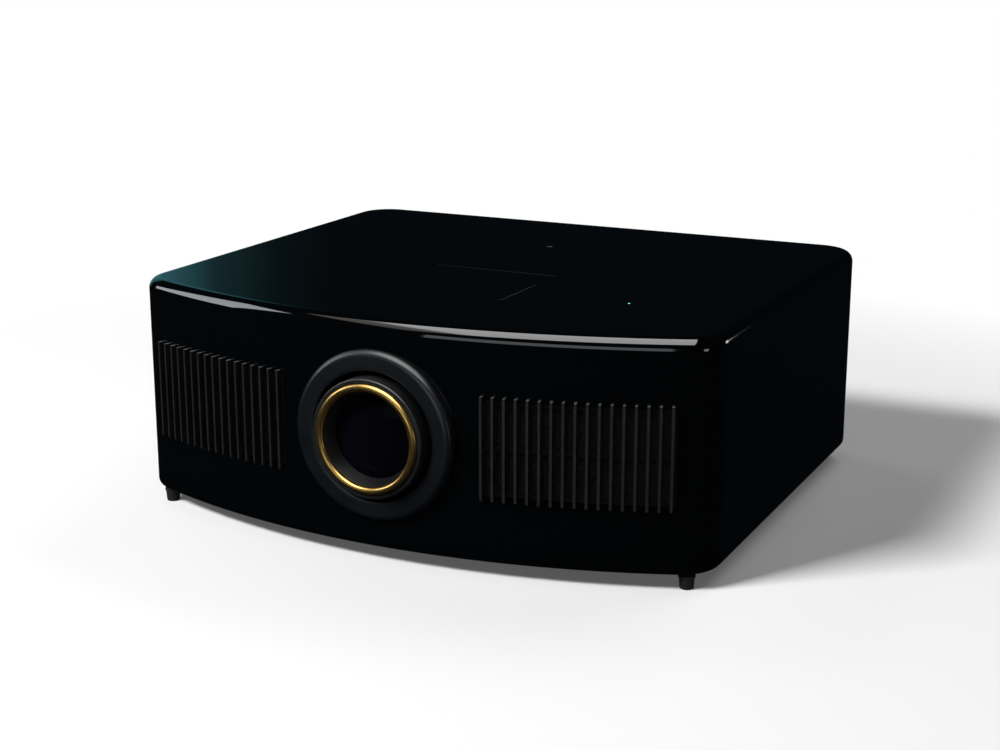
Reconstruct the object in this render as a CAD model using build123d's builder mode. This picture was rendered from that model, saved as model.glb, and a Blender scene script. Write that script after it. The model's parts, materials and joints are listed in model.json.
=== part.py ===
from build123d import *
from math import cos, pi, radians, sin, sqrt, tan
import os

# Home-cinema projector with a bowed gloss casing, a lens in a round bezel and two slatted grilles.
# X is the viewer's right, Y runs from the front to the back and Z is up, all in millimetres.
# The origin lies on the table, under the middle of the whole object.

# Casing
body_width = 500.0
body_depth = 442.0
body_height = 179.5
foot_clearance = 12.0
front_radius = 614.0
corner_radius = 34.0
top_edge_radius = 9.5
bottom_edge_radius = 7.0
wall = 3.0
seam_height = 9.0
panel_gap = 0.4
running_gap = 0.3
fit_gap = 0.05
seat_gap = 0.2

# Lens axis, bezel and front ring
lens_axis_height = 90.6
lens_reach = 16.2
bezel_radius = 66.5
bezel_crest = 6.0
bezel_round = 5.2
bezel_lip = 0.9
bezel_bore = 51.1
bezel_spigot_radius = 61.7
bezel_spigot_depth = 14.0
barrel_front_radius = 46.6
barrel_reach = 13.4
barrel_bore = 43.5
core_radius = 40.0
core_bore = 37.0
gold_outer_radius = 43.1
gold_inner_radius = 37.0
gold_seat = 11.9
cone_end_radius = 33.3
front_glass_radius = 34.45

# Lens stations, each a distance behind the middle of the front
core_start = 30.0
cell_step = 18.0
cell_end = 40.0
focus_ring_start = 44.0
zoom_ring_start = 62.0
ring_width = 12.0
zoom_cell_start = 56.0
zoom_cell_length = 20.0
motor_start = 78.0
carriage_z_start = 108.0
carriage_z_thickness = 8.0
carriage_x_thickness = 6.0
nose_length = 10.5
focus_travel = 3.0
zoom_travel = 8.0
shift_x_travel = 2.0
shift_z_travel = 3.6

# Lens drive gears
gear_module = 1.0
focus_ring_teeth = 104
zoom_ring_teeth = 88
pinion_teeth = 16
tooth_out = 0.75
tooth_in = 1.15
tooth_backlash = 0.36
pressure_angle = 20.0
focus_pinion_angle = 45.0
zoom_pinion_angle = 135.0
pinion_shaft_radius = 2.0
motor_radius = 11.0

# Grilles
slat_count = 17
slat_pitch = 8.75
first_slat = 87.0
slat_thickness = 2.0
slat_proud = 4.0
slat_height = 79.2
slat_overlap = 2.8
grille_margin = 3.5
grille_face = 1.0
grille_back = 3.0
air_slot_width = 4.2
air_slot_rib = 3.0
filter_thickness = 4.0

# Top hatch over the lens shift dials
hatch_width = 113.0
hatch_depth = 107.0
hatch_start = 97.0
hatch_corner = 5.0
hatch_thickness = 2.5
hatch_knuckle = 4.0
trunnion_radius = 1.5
trunnion_length = 2.0
well_depth = 13.5
well_wall = 2.5
well_floor = 2.0

# Lens shift drive
plate_half = 58.0
rail_width = 6.0
rail_lip = 4.0
rail_hook = 2.0
rail_depth = 3.0
engine_margin = 4.0
lead_screw_radius = 2.0
nut_gap = 0.1
dial_radius = 12.0
dial_z_x = 30.0
dial_x_y = 144.0
dial_x_z = 67.0
dial_grooves = 24
nut_length = 18.0
collar_radius = 3.6
collar_length = 1.2
screw_ear_top = 5.5

# Light engine
light_path_y = 158.0
prism_size = 36.0
wheel_radius = 25.0
wheel_track = 19.0
wheel_gap = 8.0
wheel_motor_radius = 8.5
lamp_side_gap = 22.0
lamp_handle_reach = 32.0
lamp_length = 70.0
lamp_half = 36.0
lamp_wall = 2.5

# Fans and baffles
fan_size = 92.0
fan_depth = 25.0
fan_bore = 43.5
fan_hub_radius = 19.0
fan_blades = 7
baffle_setback = 33.0
baffle_thickness = 2.0
baffle_half_width = 62.0
baffle_height = 145.0

# Feet and threaded inserts
foot_side_inset = 20.0
front_foot_inset = 11.8
rear_foot_inset = 42.0
foot_radius = 6.0
foot_tip_radius = 5.3
foot_collar_radius = 6.5
foot_collar_height = 1.6
foot_thread_radius = 3.0
foot_thread_length = 25.0
insert_radius = 4.8
foot_insert_height = 18.0
ceiling_side_inset = 100.0
ceiling_spacing_y = 220.0
ceiling_thread_radius = 2.5
ceiling_insert_height = 14.0
boss_wall = 2.0

# Rear connector bay
bay_width = 380.0
bay_height = 96.0
bay_bottom = 18.0
bay_corner = 6.0
bay_depth = 12.0
panel_thickness = 2.0
bay_flange = 5.0
board_height = 25.0
board_thickness = 1.6
board_left_x = -150.0
board_right_x = 112.0
board_reach = 102.0
inlet_x = 150.0
inlet_width = 34.0
inlet_height = 60.0
inlet_depth = 30.0
inlet_middle = 67.0
inlet_flange = 1.5
rocker_radius = 9.0
rocker_width = 12.0
rocker_tilt = 9.0
rocker_face = 3.2
rocker_pin_radius = 1.2
rocker_pin_length = 1.7
button_radius = 4.5
button_proud = 1.6
button_travel = 0.8
button_height = 92.0
first_button_x = -60.0
button_pitch = 24.0
lan_x = 96.0
hdmi_spots = (70.0, 46.0)
d_sub_spots = (10.0, -32.0)
rca_spots = (-66.0, -84.0, -102.0, -120.0)
trigger_x = -140.0
panel_slots_x = 48.0
panel_slot_count = 19

# Lamp door in the left side
door_start = 110.0
door_length = 96.0
door_bottom = 40.0
door_height = 101.0
door_corner = 4.0
ledge_width = 3.0
ledge_thickness = 2.0

# Case screws
screw_radius = 2.0
screw_head_radius = 3.6
screw_head_height = 2.4
screw_length = 20.0
screw_boss_radius = 7.0
screw_block = 16.0
screw_recess = 1.0
hole_gap = 0.2
head_gap = 0.3

# Levels and faces worked out from the sizes above
front_y = (lens_reach - body_depth) / 2
back_y = front_y + body_depth
right_x = body_width / 2
foot_x = right_x - foot_side_inset
body_bottom = foot_clearance
body_top = body_bottom + body_height
seam_z = body_bottom + seam_height
floor_z = body_bottom + wall
lens_z = body_bottom + lens_axis_height
arc_centre_y = front_y + front_radius
side_start_y = arc_centre_y - sqrt(front_radius**2 - right_x**2)
path_y = front_y + light_path_y
door_middle = (front_y + door_start + door_length / 2, body_bottom + door_bottom + door_height / 2)
lamp_back_x = -right_x + lamp_side_gap + lamp_handle_reach
lamp_front_x = lamp_back_x + lamp_length
wheel_x = lamp_front_x + wheel_gap
ceiling_x = right_x - ceiling_side_inset
front_foot_y = arc_centre_y - sqrt(front_radius**2 - foot_x**2) + front_foot_inset
panel_y = back_y - bay_depth
board_z = floor_z + board_height
board_top = board_z + board_thickness
bore_step = cell_step + focus_travel + 1.0
nose_start = zoom_cell_start + zoom_cell_length + zoom_travel + 16.0
lens_axis = Axis((0, front_y, lens_z), (0, 1, 0))
lens_profile = Plane(origin=(0, front_y, lens_z), x_dir=(0, 0, 1), z_dir=(-1, 0, 0))


# A plane across the depth, with X and Z as its own axes and its normal towards the front.
def elevation(y):
    return Plane(origin=(0, y, 0), x_dir=(1, 0, 0), z_dir=(0, -1, 0))


# The same plane centred on the lens axis, a distance behind the middle of the front.
def lens_face(distance):
    return Plane(origin=(0, front_y + distance, lens_z), x_dir=(1, 0, 0), z_dir=(0, -1, 0))


# The point of the bowed front at an arc length from the middle, and how far it stands proud.
def front_point(length, proud=0.0):
    angle = length / front_radius
    reach = front_radius + proud
    return (reach * sin(angle), arc_centre_y - reach * cos(angle))


# The casing's outline seen from above, moved inwards by an inset.
def outline_face(inset):
    with BuildSketch() as face:
        with BuildLine():
            ThreePointArc((-right_x, side_start_y), (0, front_y), (right_x, side_start_y))
            Polyline(
                (right_x, side_start_y), (right_x, back_y), (-right_x, back_y), (-right_x, side_start_y),
            )
        make_face()
        fillet(face.vertices(), corner_radius)
        if inset > 0:
            offset(amount=-inset)
    return face.sketch


# The casing's form between two levels, with rounded top and bottom edges.
def casing_form(inset, low, high, low_round, high_round):
    with BuildPart() as form:
        with BuildSketch(Plane.XY.offset(low)):
            add(outline_face(inset))
        extrude(amount=high - low)
        if high_round > 0:
            fillet(form.faces().sort_by(Axis.Z)[-1].edges(), high_round)
        if low_round > 0:
            fillet(form.faces().sort_by(Axis.Z)[0].edges(), low_round)
    return form.part


# A strip that follows the bowed front between two arc lengths and two depths.
def front_band(length_low, length_high, proud_low, proud_high):
    middle = (length_low + length_high) / 2
    with BuildSketch() as band:
        with BuildLine():
            for proud in (proud_low, proud_high):
                low, mid, high = [front_point(length, proud) for length in (length_low, middle, length_high)]
                ThreePointArc(low, mid, high)
            for length in (length_low, length_high):
                Line(front_point(length, proud_low), front_point(length, proud_high))
        make_face()
    return band.sketch


# A box between two corners, in the part that is being made.
def block(low, high, mode=Mode.ADD):
    size = [end - start for start, end in zip(low, high)]
    with Locations(low):
        Box(*size, align=(Align.MIN, Align.MIN, Align.MIN), mode=mode)


# An upright round post between two levels, in the part that is being made.
def post(x, y, low, high, radius, mode=Mode.ADD):
    with Locations((x, y, low)):
        Cylinder(radius, high - low, align=(Align.CENTER, Align.CENTER, Align.MIN), mode=mode)


# A round bar along X or Y between two ends, in the part that is being made.
def bar_x(x_low, x_high, y, z, radius, mode=Mode.ADD):
    with Locations(Location((x_low, y, z), (0, 90, 0))):
        Cylinder(radius, x_high - x_low, align=(Align.CENTER, Align.CENTER, Align.MIN), mode=mode)


def bar_y(x, y_low, y_high, z, radius, mode=Mode.ADD):
    with Locations(Location((x, y_high, z), (90, 0, 0))):
        Cylinder(radius, y_high - y_low, align=(Align.CENTER, Align.CENTER, Align.MIN), mode=mode)


# A ring turned about the lens axis from a profile of radius and distance pairs.
def lens_turning(points):
    with BuildPart() as turning:
        with BuildSketch(lens_profile):
            with BuildLine():
                Polyline(*points, close=True)
            make_face()
        revolve(axis=lens_axis)
    return turning.part


# The height of a spherical cap of a sphere radius, at a distance from its axis.
def cap_height(sphere_radius, distance):
    return sphere_radius - sqrt(sphere_radius**2 - distance**2)


# A lens element turned about an axis: rim radius, rim faces and the bulge of each face.
def glass_element(profile, axis, radius, front, back, front_sphere, back_sphere):
    front_bulge = cap_height(front_sphere, radius)
    back_bulge = cap_height(back_sphere, radius)
    with BuildPart() as glass:
        with BuildSketch(profile):
            with BuildLine():
                ThreePointArc(
                    (0, front - front_bulge),
                    (radius / 2, front - front_bulge + cap_height(front_sphere, radius / 2)),
                    (radius, front),
                )
                Line((radius, front), (radius, back))
                ThreePointArc(
                    (radius, back),
                    (radius / 2, back + back_bulge - cap_height(back_sphere, radius / 2)),
                    (0, back + back_bulge),
                )
                Line((0, back + back_bulge), (0, front - front_bulge))
            make_face()
        revolve(axis=axis)
    return glass.part


# A straight-flanked gear outline. Its first tooth points along an angle from X towards Z.
def gear_face(teeth, bore, first_angle):
    pitch_radius = gear_module * teeth / 2
    half_pitch = gear_module * pi / 4 - tooth_backlash / 2
    slope = tan(radians(pressure_angle))
    tip = (pitch_radius + tooth_out, half_pitch - tooth_out * slope)
    root = (pitch_radius - tooth_in, half_pitch + tooth_in * slope)
    points = []
    for tooth in range(teeth):
        centre = radians(first_angle) + 2 * pi * tooth / teeth
        for (radius, half), side in ((root, -1), (tip, -1), (tip, 1), (root, 1)):
            angle = centre + side * half / radius
            points.append((radius * cos(angle), radius * sin(angle)))
    with BuildSketch() as face:
        with BuildLine():
            Polyline(*points, close=True)
        make_face()
        if bore > 0:
            Circle(bore, mode=Mode.SUBTRACT)
    return face.sketch


# A round grip outline with small grooves around its rim.
def grip_face(radius):
    with BuildSketch() as face:
        Circle(radius)
        with PolarLocations(radius, dial_grooves):
            Circle(0.8, mode=Mode.SUBTRACT)
    return face.sketch


os.makedirs("parts", exist_ok=True)

# Screw places under the casing, beside the side walls and behind the front
side_screw_x = right_x - 12.0
side_screw_spots = [
    (side * side_screw_x, front_y + distance) for side in (-1, 1) for distance in (100.0, 300.0)
]
front_screw_spots = [(-75.0, front_y + 22.0), (75.0, front_y + 22.0)]
foot_spots = {
    "front_left_foot": (-foot_x, front_foot_y),
    "front_right_foot": (foot_x, front_foot_y),
    "rear_left_foot": (-foot_x, back_y - rear_foot_inset),
    "rear_right_foot": (foot_x, back_y - rear_foot_inset),
}
ceiling_y = front_y + body_depth / 2
ceiling_spots = [
    (x * ceiling_x, ceiling_y + y * ceiling_spacing_y / 2) for x in (-1, 1) for y in (-1, 1)
]

# Grille limits along the front and in height
last_slat = first_slat + (slat_count - 1) * slat_pitch
window_start = first_slat - grille_margin
window_end = last_slat + grille_margin
slat_bottom = lens_z - slat_height / 2
slat_top = lens_z + slat_height / 2
window_bottom = slat_bottom + slat_overlap
window_top = slat_top - slat_overlap

# Hatch limits
hatch_front = front_y + hatch_start
hatch_back = hatch_front + hatch_depth
hatch_half = hatch_width / 2
hatch_axis_y = hatch_back - panel_gap - hatch_knuckle
hatch_axis_z = body_top - hatch_knuckle
well_z = body_top - well_depth
dial_z_y = front_y + carriage_z_start + carriage_z_thickness / 2
screw_x_y = front_y + dial_x_y
screw_x_z = lens_z + dial_x_z
wheel_x_low = -52.0
wheel_x_high = -43.0

# Light pipe and remote control window in the top
status_spot = (149.5, front_y + 134.0)
status_radius = 1.0
remote_spot = (0.0, front_y + 318.0)
remote_width = 5.0
remote_depth = 2.0

# The whole outer form of the casing, which the cover, the tray and the bezel's seat are cut from
outer_form = casing_form(0, body_bottom, body_top, bottom_edge_radius, top_edge_radius)

# Top cover: one gloss shell for the top, the front, the sides and the back
with BuildPart() as top_cover:
    add(outer_form)
    split(bisect_by=Plane.XY.offset(seam_z), keep=Keep.TOP)
    add(casing_form(wall, seam_z - 1, body_top - wall, 0, top_edge_radius - wall), mode=Mode.SUBTRACT)
    # Round hole for the bezel spigot
    with BuildSketch(lens_face(bezel_spigot_depth)):
        Circle(bezel_spigot_radius + seat_gap)
    extrude(amount=bezel_spigot_depth + lens_reach, mode=Mode.SUBTRACT)
    # Grille windows
    for side in (-1, 1):
        with BuildSketch(Plane.XY.offset(window_bottom)):
            add(front_band(side * window_start, side * window_end, -2 * wall, wall))
        extrude(amount=window_top - window_bottom, mode=Mode.SUBTRACT)
    # Well under the hatch
    block(
        (-hatch_half - well_wall, hatch_front - well_wall, well_z - well_floor),
        (hatch_half + well_wall, hatch_back + well_wall, body_top - wall / 2),
    )
    with BuildSketch(Plane.XY.offset(well_z)) as well_hole:
        with Locations((0, (hatch_front + hatch_back) / 2)):
            Rectangle(hatch_width, hatch_depth)
        fillet(well_hole.vertices().group_by(Axis.Y)[0], hatch_corner)
    extrude(amount=well_depth + wall, mode=Mode.SUBTRACT)
    # Ledge that the shut hatch rests on
    block(
        (-20, hatch_front - wall / 2, body_top - hatch_thickness - 2.0),
        (20, hatch_front + 2.5, body_top - hatch_thickness),
    )
    # Trunnion sockets
    bar_x(
        -hatch_half - trunnion_length, hatch_half + trunnion_length,
        hatch_axis_y, hatch_axis_z, trunnion_radius + fit_gap, mode=Mode.SUBTRACT,
    )
    # Openings in the well floor for the two dials
    post(
        dial_z_x, dial_z_y, well_z - 2 * well_floor, well_z + 1,
        dial_radius + shift_x_travel + 1.5, mode=Mode.SUBTRACT,
    )
    block(
        (wheel_x_low - 1.5, screw_x_y - dial_radius - 1.5, well_z - 2 * well_floor),
        (wheel_x_high + 1.5, screw_x_y + dial_radius + 1.5, well_z + 1),
        mode=Mode.SUBTRACT,
    )
    # Rear connector bay
    with BuildSketch(elevation(back_y + 1)):
        with Locations((0, body_bottom + bay_bottom + bay_height / 2)):
            RectangleRounded(bay_width, bay_height, bay_corner)
    extrude(amount=wall + 3, mode=Mode.SUBTRACT)
    # Lamp door opening with its ledge, in the left side
    with BuildSketch(Plane.YZ.offset(-right_x + wall)):
        with Locations(door_middle):
            Rectangle(door_length + 2 * ledge_width, door_height + 2 * ledge_width)
            RectangleRounded(
                door_length - 2 * ledge_width, door_height - 2 * ledge_width, door_corner, mode=Mode.SUBTRACT
            )
    extrude(amount=ledge_thickness)
    with BuildSketch(Plane.YZ.offset(-right_x + wall)):
        with Locations(door_middle):
            RectangleRounded(door_length, door_height, door_corner)
    extrude(amount=-2 * wall, mode=Mode.SUBTRACT)
    # Holes for the light pipe and the remote control window
    post(*status_spot, body_top - 2 * wall, body_top + 1, status_radius + fit_gap, mode=Mode.SUBTRACT)
    with BuildSketch(Plane.XY.offset(body_top - 2 * wall)):
        with Locations(remote_spot):
            Rectangle(remote_width + 2 * fit_gap, remote_depth + 2 * fit_gap)
    extrude(amount=3 * wall, mode=Mode.SUBTRACT)
    # Screw blocks on the side walls and behind the front
    for x, y in side_screw_spots:
        inner = x - screw_block / 2 if x > 0 else x + screw_block / 2
        outer = right_x - wall / 2 if x > 0 else -right_x + wall / 2
        block(
            (min(inner, outer), y - screw_block / 2, seam_z),
            (max(inner, outer), y + screw_block / 2, seam_z + screw_block),
        )
    for x, y in front_screw_spots:
        block(
            (x - screw_block / 2, front_y + 6.5, seam_z),
            (x + screw_block / 2, y + screw_block / 2, seam_z + screw_block),
        )
    for x, y in side_screw_spots + front_screw_spots:
        post(x, y, seam_z - 1, seam_z + screw_block - 3, screw_radius + fit_gap, mode=Mode.SUBTRACT)
top_cover.part.label = "top_cover"
export_step(top_cover.part, "parts/top_cover.step")

# Base tray: the floor of the casing with the rounded bottom edge
board_spots = [(x, back_y - distance) for x in (-140.0, 102.0) for distance in (92.0, 24.0)]
supply_low = (118.0, front_y + 118.0)
supply_high = (right_x - 20.0, front_y + 290.0)
supply_post = 10.0
post_radius = 3.5
post_inset = 6.0
supply_spots = [
    (x, y)
    for x in (supply_low[0] + post_inset, supply_high[0] - post_inset)
    for y in (supply_low[1] + post_inset, supply_high[1] - post_inset)
]
lamp_rib_spots = (path_y - lamp_half + 4.0, path_y + lamp_half - 4.0)
head_seat = body_bottom + screw_recess + screw_head_height
with BuildPart() as base_tray:
    add(outer_form)
    split(bisect_by=Plane.XY.offset(seam_z), keep=Keep.BOTTOM)
    add(casing_form(wall, floor_z, seam_z + 1, 0, 0), mode=Mode.SUBTRACT)
    # Bosses for the foot inserts, the ceiling inserts and the case screws
    for x, y in foot_spots.values():
        post(x, y, body_bottom + 2, body_bottom + foot_insert_height + 2, insert_radius + boss_wall)
    for x, y in ceiling_spots:
        post(x, y, body_bottom, body_bottom + ceiling_insert_height + 2, insert_radius + boss_wall)
    for x, y in side_screw_spots + front_screw_spots:
        post(x, y, body_bottom + 2, seam_z, screw_boss_radius)
    # Posts for the boards and ribs that carry the lamp
    for x, y in board_spots:
        post(x, y, floor_z - 1, board_z, post_radius)
    for x, y in supply_spots:
        post(x, y, floor_z - 1, floor_z + supply_post, post_radius)
    for y in lamp_rib_spots:
        block(
            (lamp_front_x - lamp_length, y - 1.5, floor_z - 1),
            (lamp_front_x, y + 1.5, lens_z - lamp_half),
        )
    # Holes for the inserts and the screws
    for x, y in foot_spots.values():
        post(x, y, body_bottom, body_bottom + foot_insert_height, insert_radius, mode=Mode.SUBTRACT)
        post(x, y, body_bottom - 1, body_top, foot_thread_radius + head_gap, mode=Mode.SUBTRACT)
    for x, y in ceiling_spots:
        post(x, y, body_bottom - 1, body_bottom + ceiling_insert_height, insert_radius, mode=Mode.SUBTRACT)
    for x, y in side_screw_spots + front_screw_spots:
        post(x, y, body_bottom - 1, seam_z + 1, screw_radius + hole_gap, mode=Mode.SUBTRACT)
        post(x, y, body_bottom - 1, head_seat, screw_head_radius + head_gap, mode=Mode.SUBTRACT)
    # Air slots under the power supply and the ballast
    for x in (-195.0, 175.0):
        with BuildSketch(Plane.XY.offset(body_bottom - 1)):
            with Locations((x, front_y + 240.0)):
                with GridLocations(8.0, 0, 9, 1):
                    SlotOverall(46.0, 3.0, rotation=90)
        extrude(amount=wall + 2, mode=Mode.SUBTRACT)
base_tray.part.label = "base_tray"
export_step(base_tray.part, "parts/base_tray.step")

# Threaded inserts, pressed into the base for the feet and for a ceiling bracket
with BuildPart() as threaded_inserts:
    for x, y in foot_spots.values():
        post(x, y, body_bottom, body_bottom + foot_insert_height, insert_radius)
        post(x, y, body_bottom - 1, body_top, foot_thread_radius + fit_gap, mode=Mode.SUBTRACT)
    for x, y in ceiling_spots:
        post(x, y, body_bottom, body_bottom + ceiling_insert_height, insert_radius)
        post(x, y, body_bottom - 1, body_top, ceiling_thread_radius, mode=Mode.SUBTRACT)
threaded_inserts.part.label = "threaded_inserts"
export_step(threaded_inserts.part, "parts/threaded_inserts.step")

# Screw feet: a tapered pad, a collar and the thread that runs up into the insert
foot_pad_height = body_bottom - foot_collar_height
for foot_name, (x, y) in foot_spots.items():
    with BuildPart() as foot:
        with Locations((x, y, 0)):
            Cone(
                foot_tip_radius, foot_radius, foot_pad_height,
                align=(Align.CENTER, Align.CENTER, Align.MIN),
            )
        fillet(foot.edges().sort_by(Axis.Z)[0], 1.0)
        post(x, y, foot_pad_height, body_bottom, foot_collar_radius)
        post(x, y, body_bottom, body_bottom + foot_thread_length - 0.5, foot_thread_radius)
        chamfer(foot.edges().sort_by(Axis.Z)[-1], 0.5)
    foot.part.label = foot_name
    export_step(foot.part, f"parts/{foot_name}.step")

# Case screws: six under the casing and one in the lamp door
door_screw_y = front_y + door_start + door_length / 2
door_screw_z = body_bottom + door_bottom + ledge_width + 4.0
door_head_x = -right_x + 0.6
with BuildPart() as case_screws:
    for x, y in side_screw_spots + front_screw_spots:
        head_z = body_bottom + screw_recess
        post(x, y, head_z, head_seat, screw_head_radius)
        post(x, y, head_z, head_z + screw_length, screw_radius)
        post(x, y, head_z - 1, head_z + 1.4, 1.3, mode=Mode.SUBTRACT)
    bar_x(door_head_x, door_head_x + screw_head_height, door_screw_y, door_screw_z, screw_head_radius)
    bar_x(door_head_x, door_head_x + 8.4, door_screw_y, door_screw_z, screw_radius)
    block(
        (-right_x, door_screw_y - 3, door_screw_z - 0.5),
        (door_head_x + 1.0, door_screw_y + 3, door_screw_z + 0.5), mode=Mode.SUBTRACT,
    )
case_screws.part.label = "case_screws"
export_step(case_screws.part, "parts/case_screws.step")

# Lamp door, flush with the left side
with BuildPart() as lamp_door:
    with BuildSketch(Plane.YZ.offset(-right_x + wall)):
        with Locations(door_middle):
            RectangleRounded(
                door_length - 2 * panel_gap, door_height - 2 * panel_gap, door_corner - panel_gap
            )
    extrude(amount=-wall)
    # Boss behind the door, with the screw's counterbore
    bar_x(-right_x + wall, -right_x + wall + 4, door_screw_y, door_screw_z + 8, 5.0)
    bar_x(
        -right_x - 1, door_head_x + screw_head_height, door_screw_y, door_screw_z,
        screw_head_radius + head_gap, mode=Mode.SUBTRACT,
    )
lamp_door.part.label = "lamp_door"
export_step(lamp_door.part, "parts/lamp_door.step")

# Lens bezel: a fat rounded ring that follows the bowed front, with a spigot through it
with BuildPart() as drilled_form:
    add(outer_form)
    bar_y(0, front_y - 1, front_y + body_depth, lens_z, bezel_spigot_radius, mode=Mode.SUBTRACT)
with BuildPart() as lens_bezel:
    with BuildSketch(lens_profile) as bezel_section:
        with BuildLine():
            Polyline(
                (bezel_bore, -bezel_crest + bezel_lip),
                (bezel_bore + 3.5, -bezel_crest),
                (bezel_radius, -bezel_crest),
                (bezel_radius, bezel_spigot_depth / 2),
                (bezel_spigot_radius, bezel_spigot_depth / 2),
                (bezel_spigot_radius, bezel_spigot_depth),
                (bezel_bore, bezel_spigot_depth),
                close=True,
            )
        make_face()
        outer_corner = bezel_section.vertices().sort_by_distance((bezel_radius, -bezel_crest))[0]
        fillet(outer_corner, bezel_round)
    revolve(axis=lens_axis)
    add(drilled_form.part, mode=Mode.SUBTRACT)
lens_bezel.part.label = "lens_bezel"
export_step(lens_bezel.part, "parts/lens_bezel.step")

# Grilles: vertical slats in front of a slotted plate, and a dust filter behind each
insert_bottom = window_bottom + seat_gap
insert_height = window_top - window_bottom - 2 * seat_gap
slot_height = (window_top - window_bottom - 3 * air_slot_rib) / 2
slat_middles = [first_slat + slat * slat_pitch for slat in range(slat_count)]
slot_middles = [first_slat + (slot + 0.5) * slat_pitch for slot in range(slat_count - 1)]
for side, grille_name in ((-1, "left_grille"), (1, "right_grille")):
    with BuildPart() as grille:
        plate_ends = (side * (window_start + seat_gap), side * (window_end - seat_gap))
        with BuildSketch(Plane.XY.offset(insert_bottom)):
            add(front_band(*plate_ends, -grille_back, -grille_face))
        extrude(amount=insert_height)
        for row in (0, 1):
            low = window_bottom + air_slot_rib + row * (slot_height + air_slot_rib)
            with BuildSketch(Plane.XY.offset(low)):
                for middle in slot_middles:
                    slot_ends = (side * middle - air_slot_width / 2, side * middle + air_slot_width / 2)
                    add(front_band(*slot_ends, -2 * grille_back, 0))
            extrude(amount=slot_height, mode=Mode.SUBTRACT)
        # Each slat stands on the front at full height and reaches back through the window
        slat_parts = ((slat_bottom, slat_height, 0), (insert_bottom, insert_height, -grille_back))
        for low, height, root in slat_parts:
            with BuildSketch(Plane.XY.offset(low)):
                for middle in slat_middles:
                    slat_ends = (side * middle - slat_thickness / 2, side * middle + slat_thickness / 2)
                    add(front_band(*slat_ends, root, slat_proud))
            extrude(amount=height)
    grille.part.label = grille_name
    export_step(grille.part, f"parts/{grille_name}.step")

with BuildPart() as dust_filters:
    for side in (-1, 1):
        with BuildSketch(Plane.XY.offset(window_bottom - 3)):
            add(
                front_band(
                    side * (window_start - 3), side * (window_end + 1),
                    -wall - running_gap - filter_thickness, -wall - running_gap,
                )
            )
        extrude(amount=window_top - window_bottom + 6)
dust_filters.part.label = "dust_filters"
export_step(dust_filters.part, "parts/dust_filters.step")

# Top hatch with a round hinge knuckle, so that it turns in its opening without a gap
with BuildPart() as top_hatch:
    with BuildSketch(Plane.XY.offset(body_top - hatch_thickness)) as hatch_face:
        with Locations((0, (hatch_front + panel_gap + hatch_axis_y) / 2)):
            Rectangle(hatch_width - 2 * panel_gap, hatch_axis_y - hatch_front - panel_gap)
        fillet(hatch_face.vertices().group_by(Axis.Y)[0], hatch_corner - panel_gap)
    extrude(amount=hatch_thickness)
    bar_x(-hatch_half + panel_gap, hatch_half - panel_gap, hatch_axis_y, hatch_axis_z, hatch_knuckle)
    bar_x(
        -hatch_half - trunnion_length + running_gap, hatch_half + trunnion_length - running_gap,
        hatch_axis_y, hatch_axis_z, trunnion_radius,
    )
    for x in (-38.0, 0.0, 38.0):
        block(
            (x - 0.8, hatch_front + 8, body_top - hatch_thickness - 1.5),
            (x + 0.8, hatch_axis_y, body_top - hatch_thickness + 0.5),
        )
top_hatch.part.label = "top_hatch"
export_step(top_hatch.part, "parts/top_hatch.step")

# Status light pipe and remote control window, pushed up from inside the top
with BuildPart() as status_light_pipe:
    post(*status_spot, body_top - wall - 4, body_top, status_radius)
    post(*status_spot, body_top - wall - 2, body_top - wall, status_radius + 1.2)
status_light_pipe.part.label = "status_light_pipe"
export_step(status_light_pipe.part, "parts/status_light_pipe.step")

with BuildPart() as remote_window:
    with BuildSketch(Plane.XY.offset(body_top - wall)):
        with Locations(remote_spot):
            Rectangle(remote_width, remote_depth)
    extrude(amount=wall)
    with BuildSketch(Plane.XY.offset(body_top - wall)):
        with Locations(remote_spot):
            Rectangle(remote_width + 4, remote_depth + 4)
    extrude(amount=-3)
remote_window.part.label = "remote_window"
export_step(remote_window.part, "parts/remote_window.step")

# Lens barrel: the front tube, the core tube and the nose that reaches into the light engine
plate_back = carriage_z_start + carriage_z_thickness
spigot_radius = core_radius - 1.5
nose_radius = 34.0
nose_bore = 31.0
nose_end = plate_back + nose_length
with BuildPart() as lens_barrel:
    add(
        lens_turning([
            (barrel_bore, -barrel_reach),
            (barrel_front_radius - 0.8, -barrel_reach),
            (barrel_front_radius, -barrel_reach + 0.8),
            (barrel_front_radius, core_start),
            (core_radius, core_start),
            (core_radius, carriage_z_start),
            (spigot_radius, carriage_z_start),
            (spigot_radius, plate_back),
            (nose_radius, plate_back),
            (nose_radius, nose_end),
            (nose_bore, nose_end),
            (nose_bore, nose_start),
            (core_bore, nose_start),
            (core_bore, bore_step),
            (barrel_bore, bore_step),
        ])
    )
lens_barrel.part.label = "lens_barrel"
export_step(lens_barrel.part, "parts/lens_barrel.step")

# Focus cell: the inner cone and the sliding mount of the front element
cell_gap = running_gap
glass_front = 0.9
with BuildPart() as focus_cell:
    add(
        lens_turning([
            (gold_inner_radius, -gold_seat),
            (gold_outer_radius, -gold_seat),
            (gold_outer_radius, cell_step),
            (core_bore - cell_gap, cell_step),
            (core_bore - cell_gap, cell_end),
            (front_glass_radius + fit_gap, cell_end),
            (front_glass_radius + fit_gap, -glass_front),
            (cone_end_radius, -glass_front),
            (cone_end_radius, -glass_front - 0.4),
        ])
    )
focus_cell.part.label = "focus_cell"
export_step(focus_cell.part, "parts/focus_cell.step")

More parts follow.
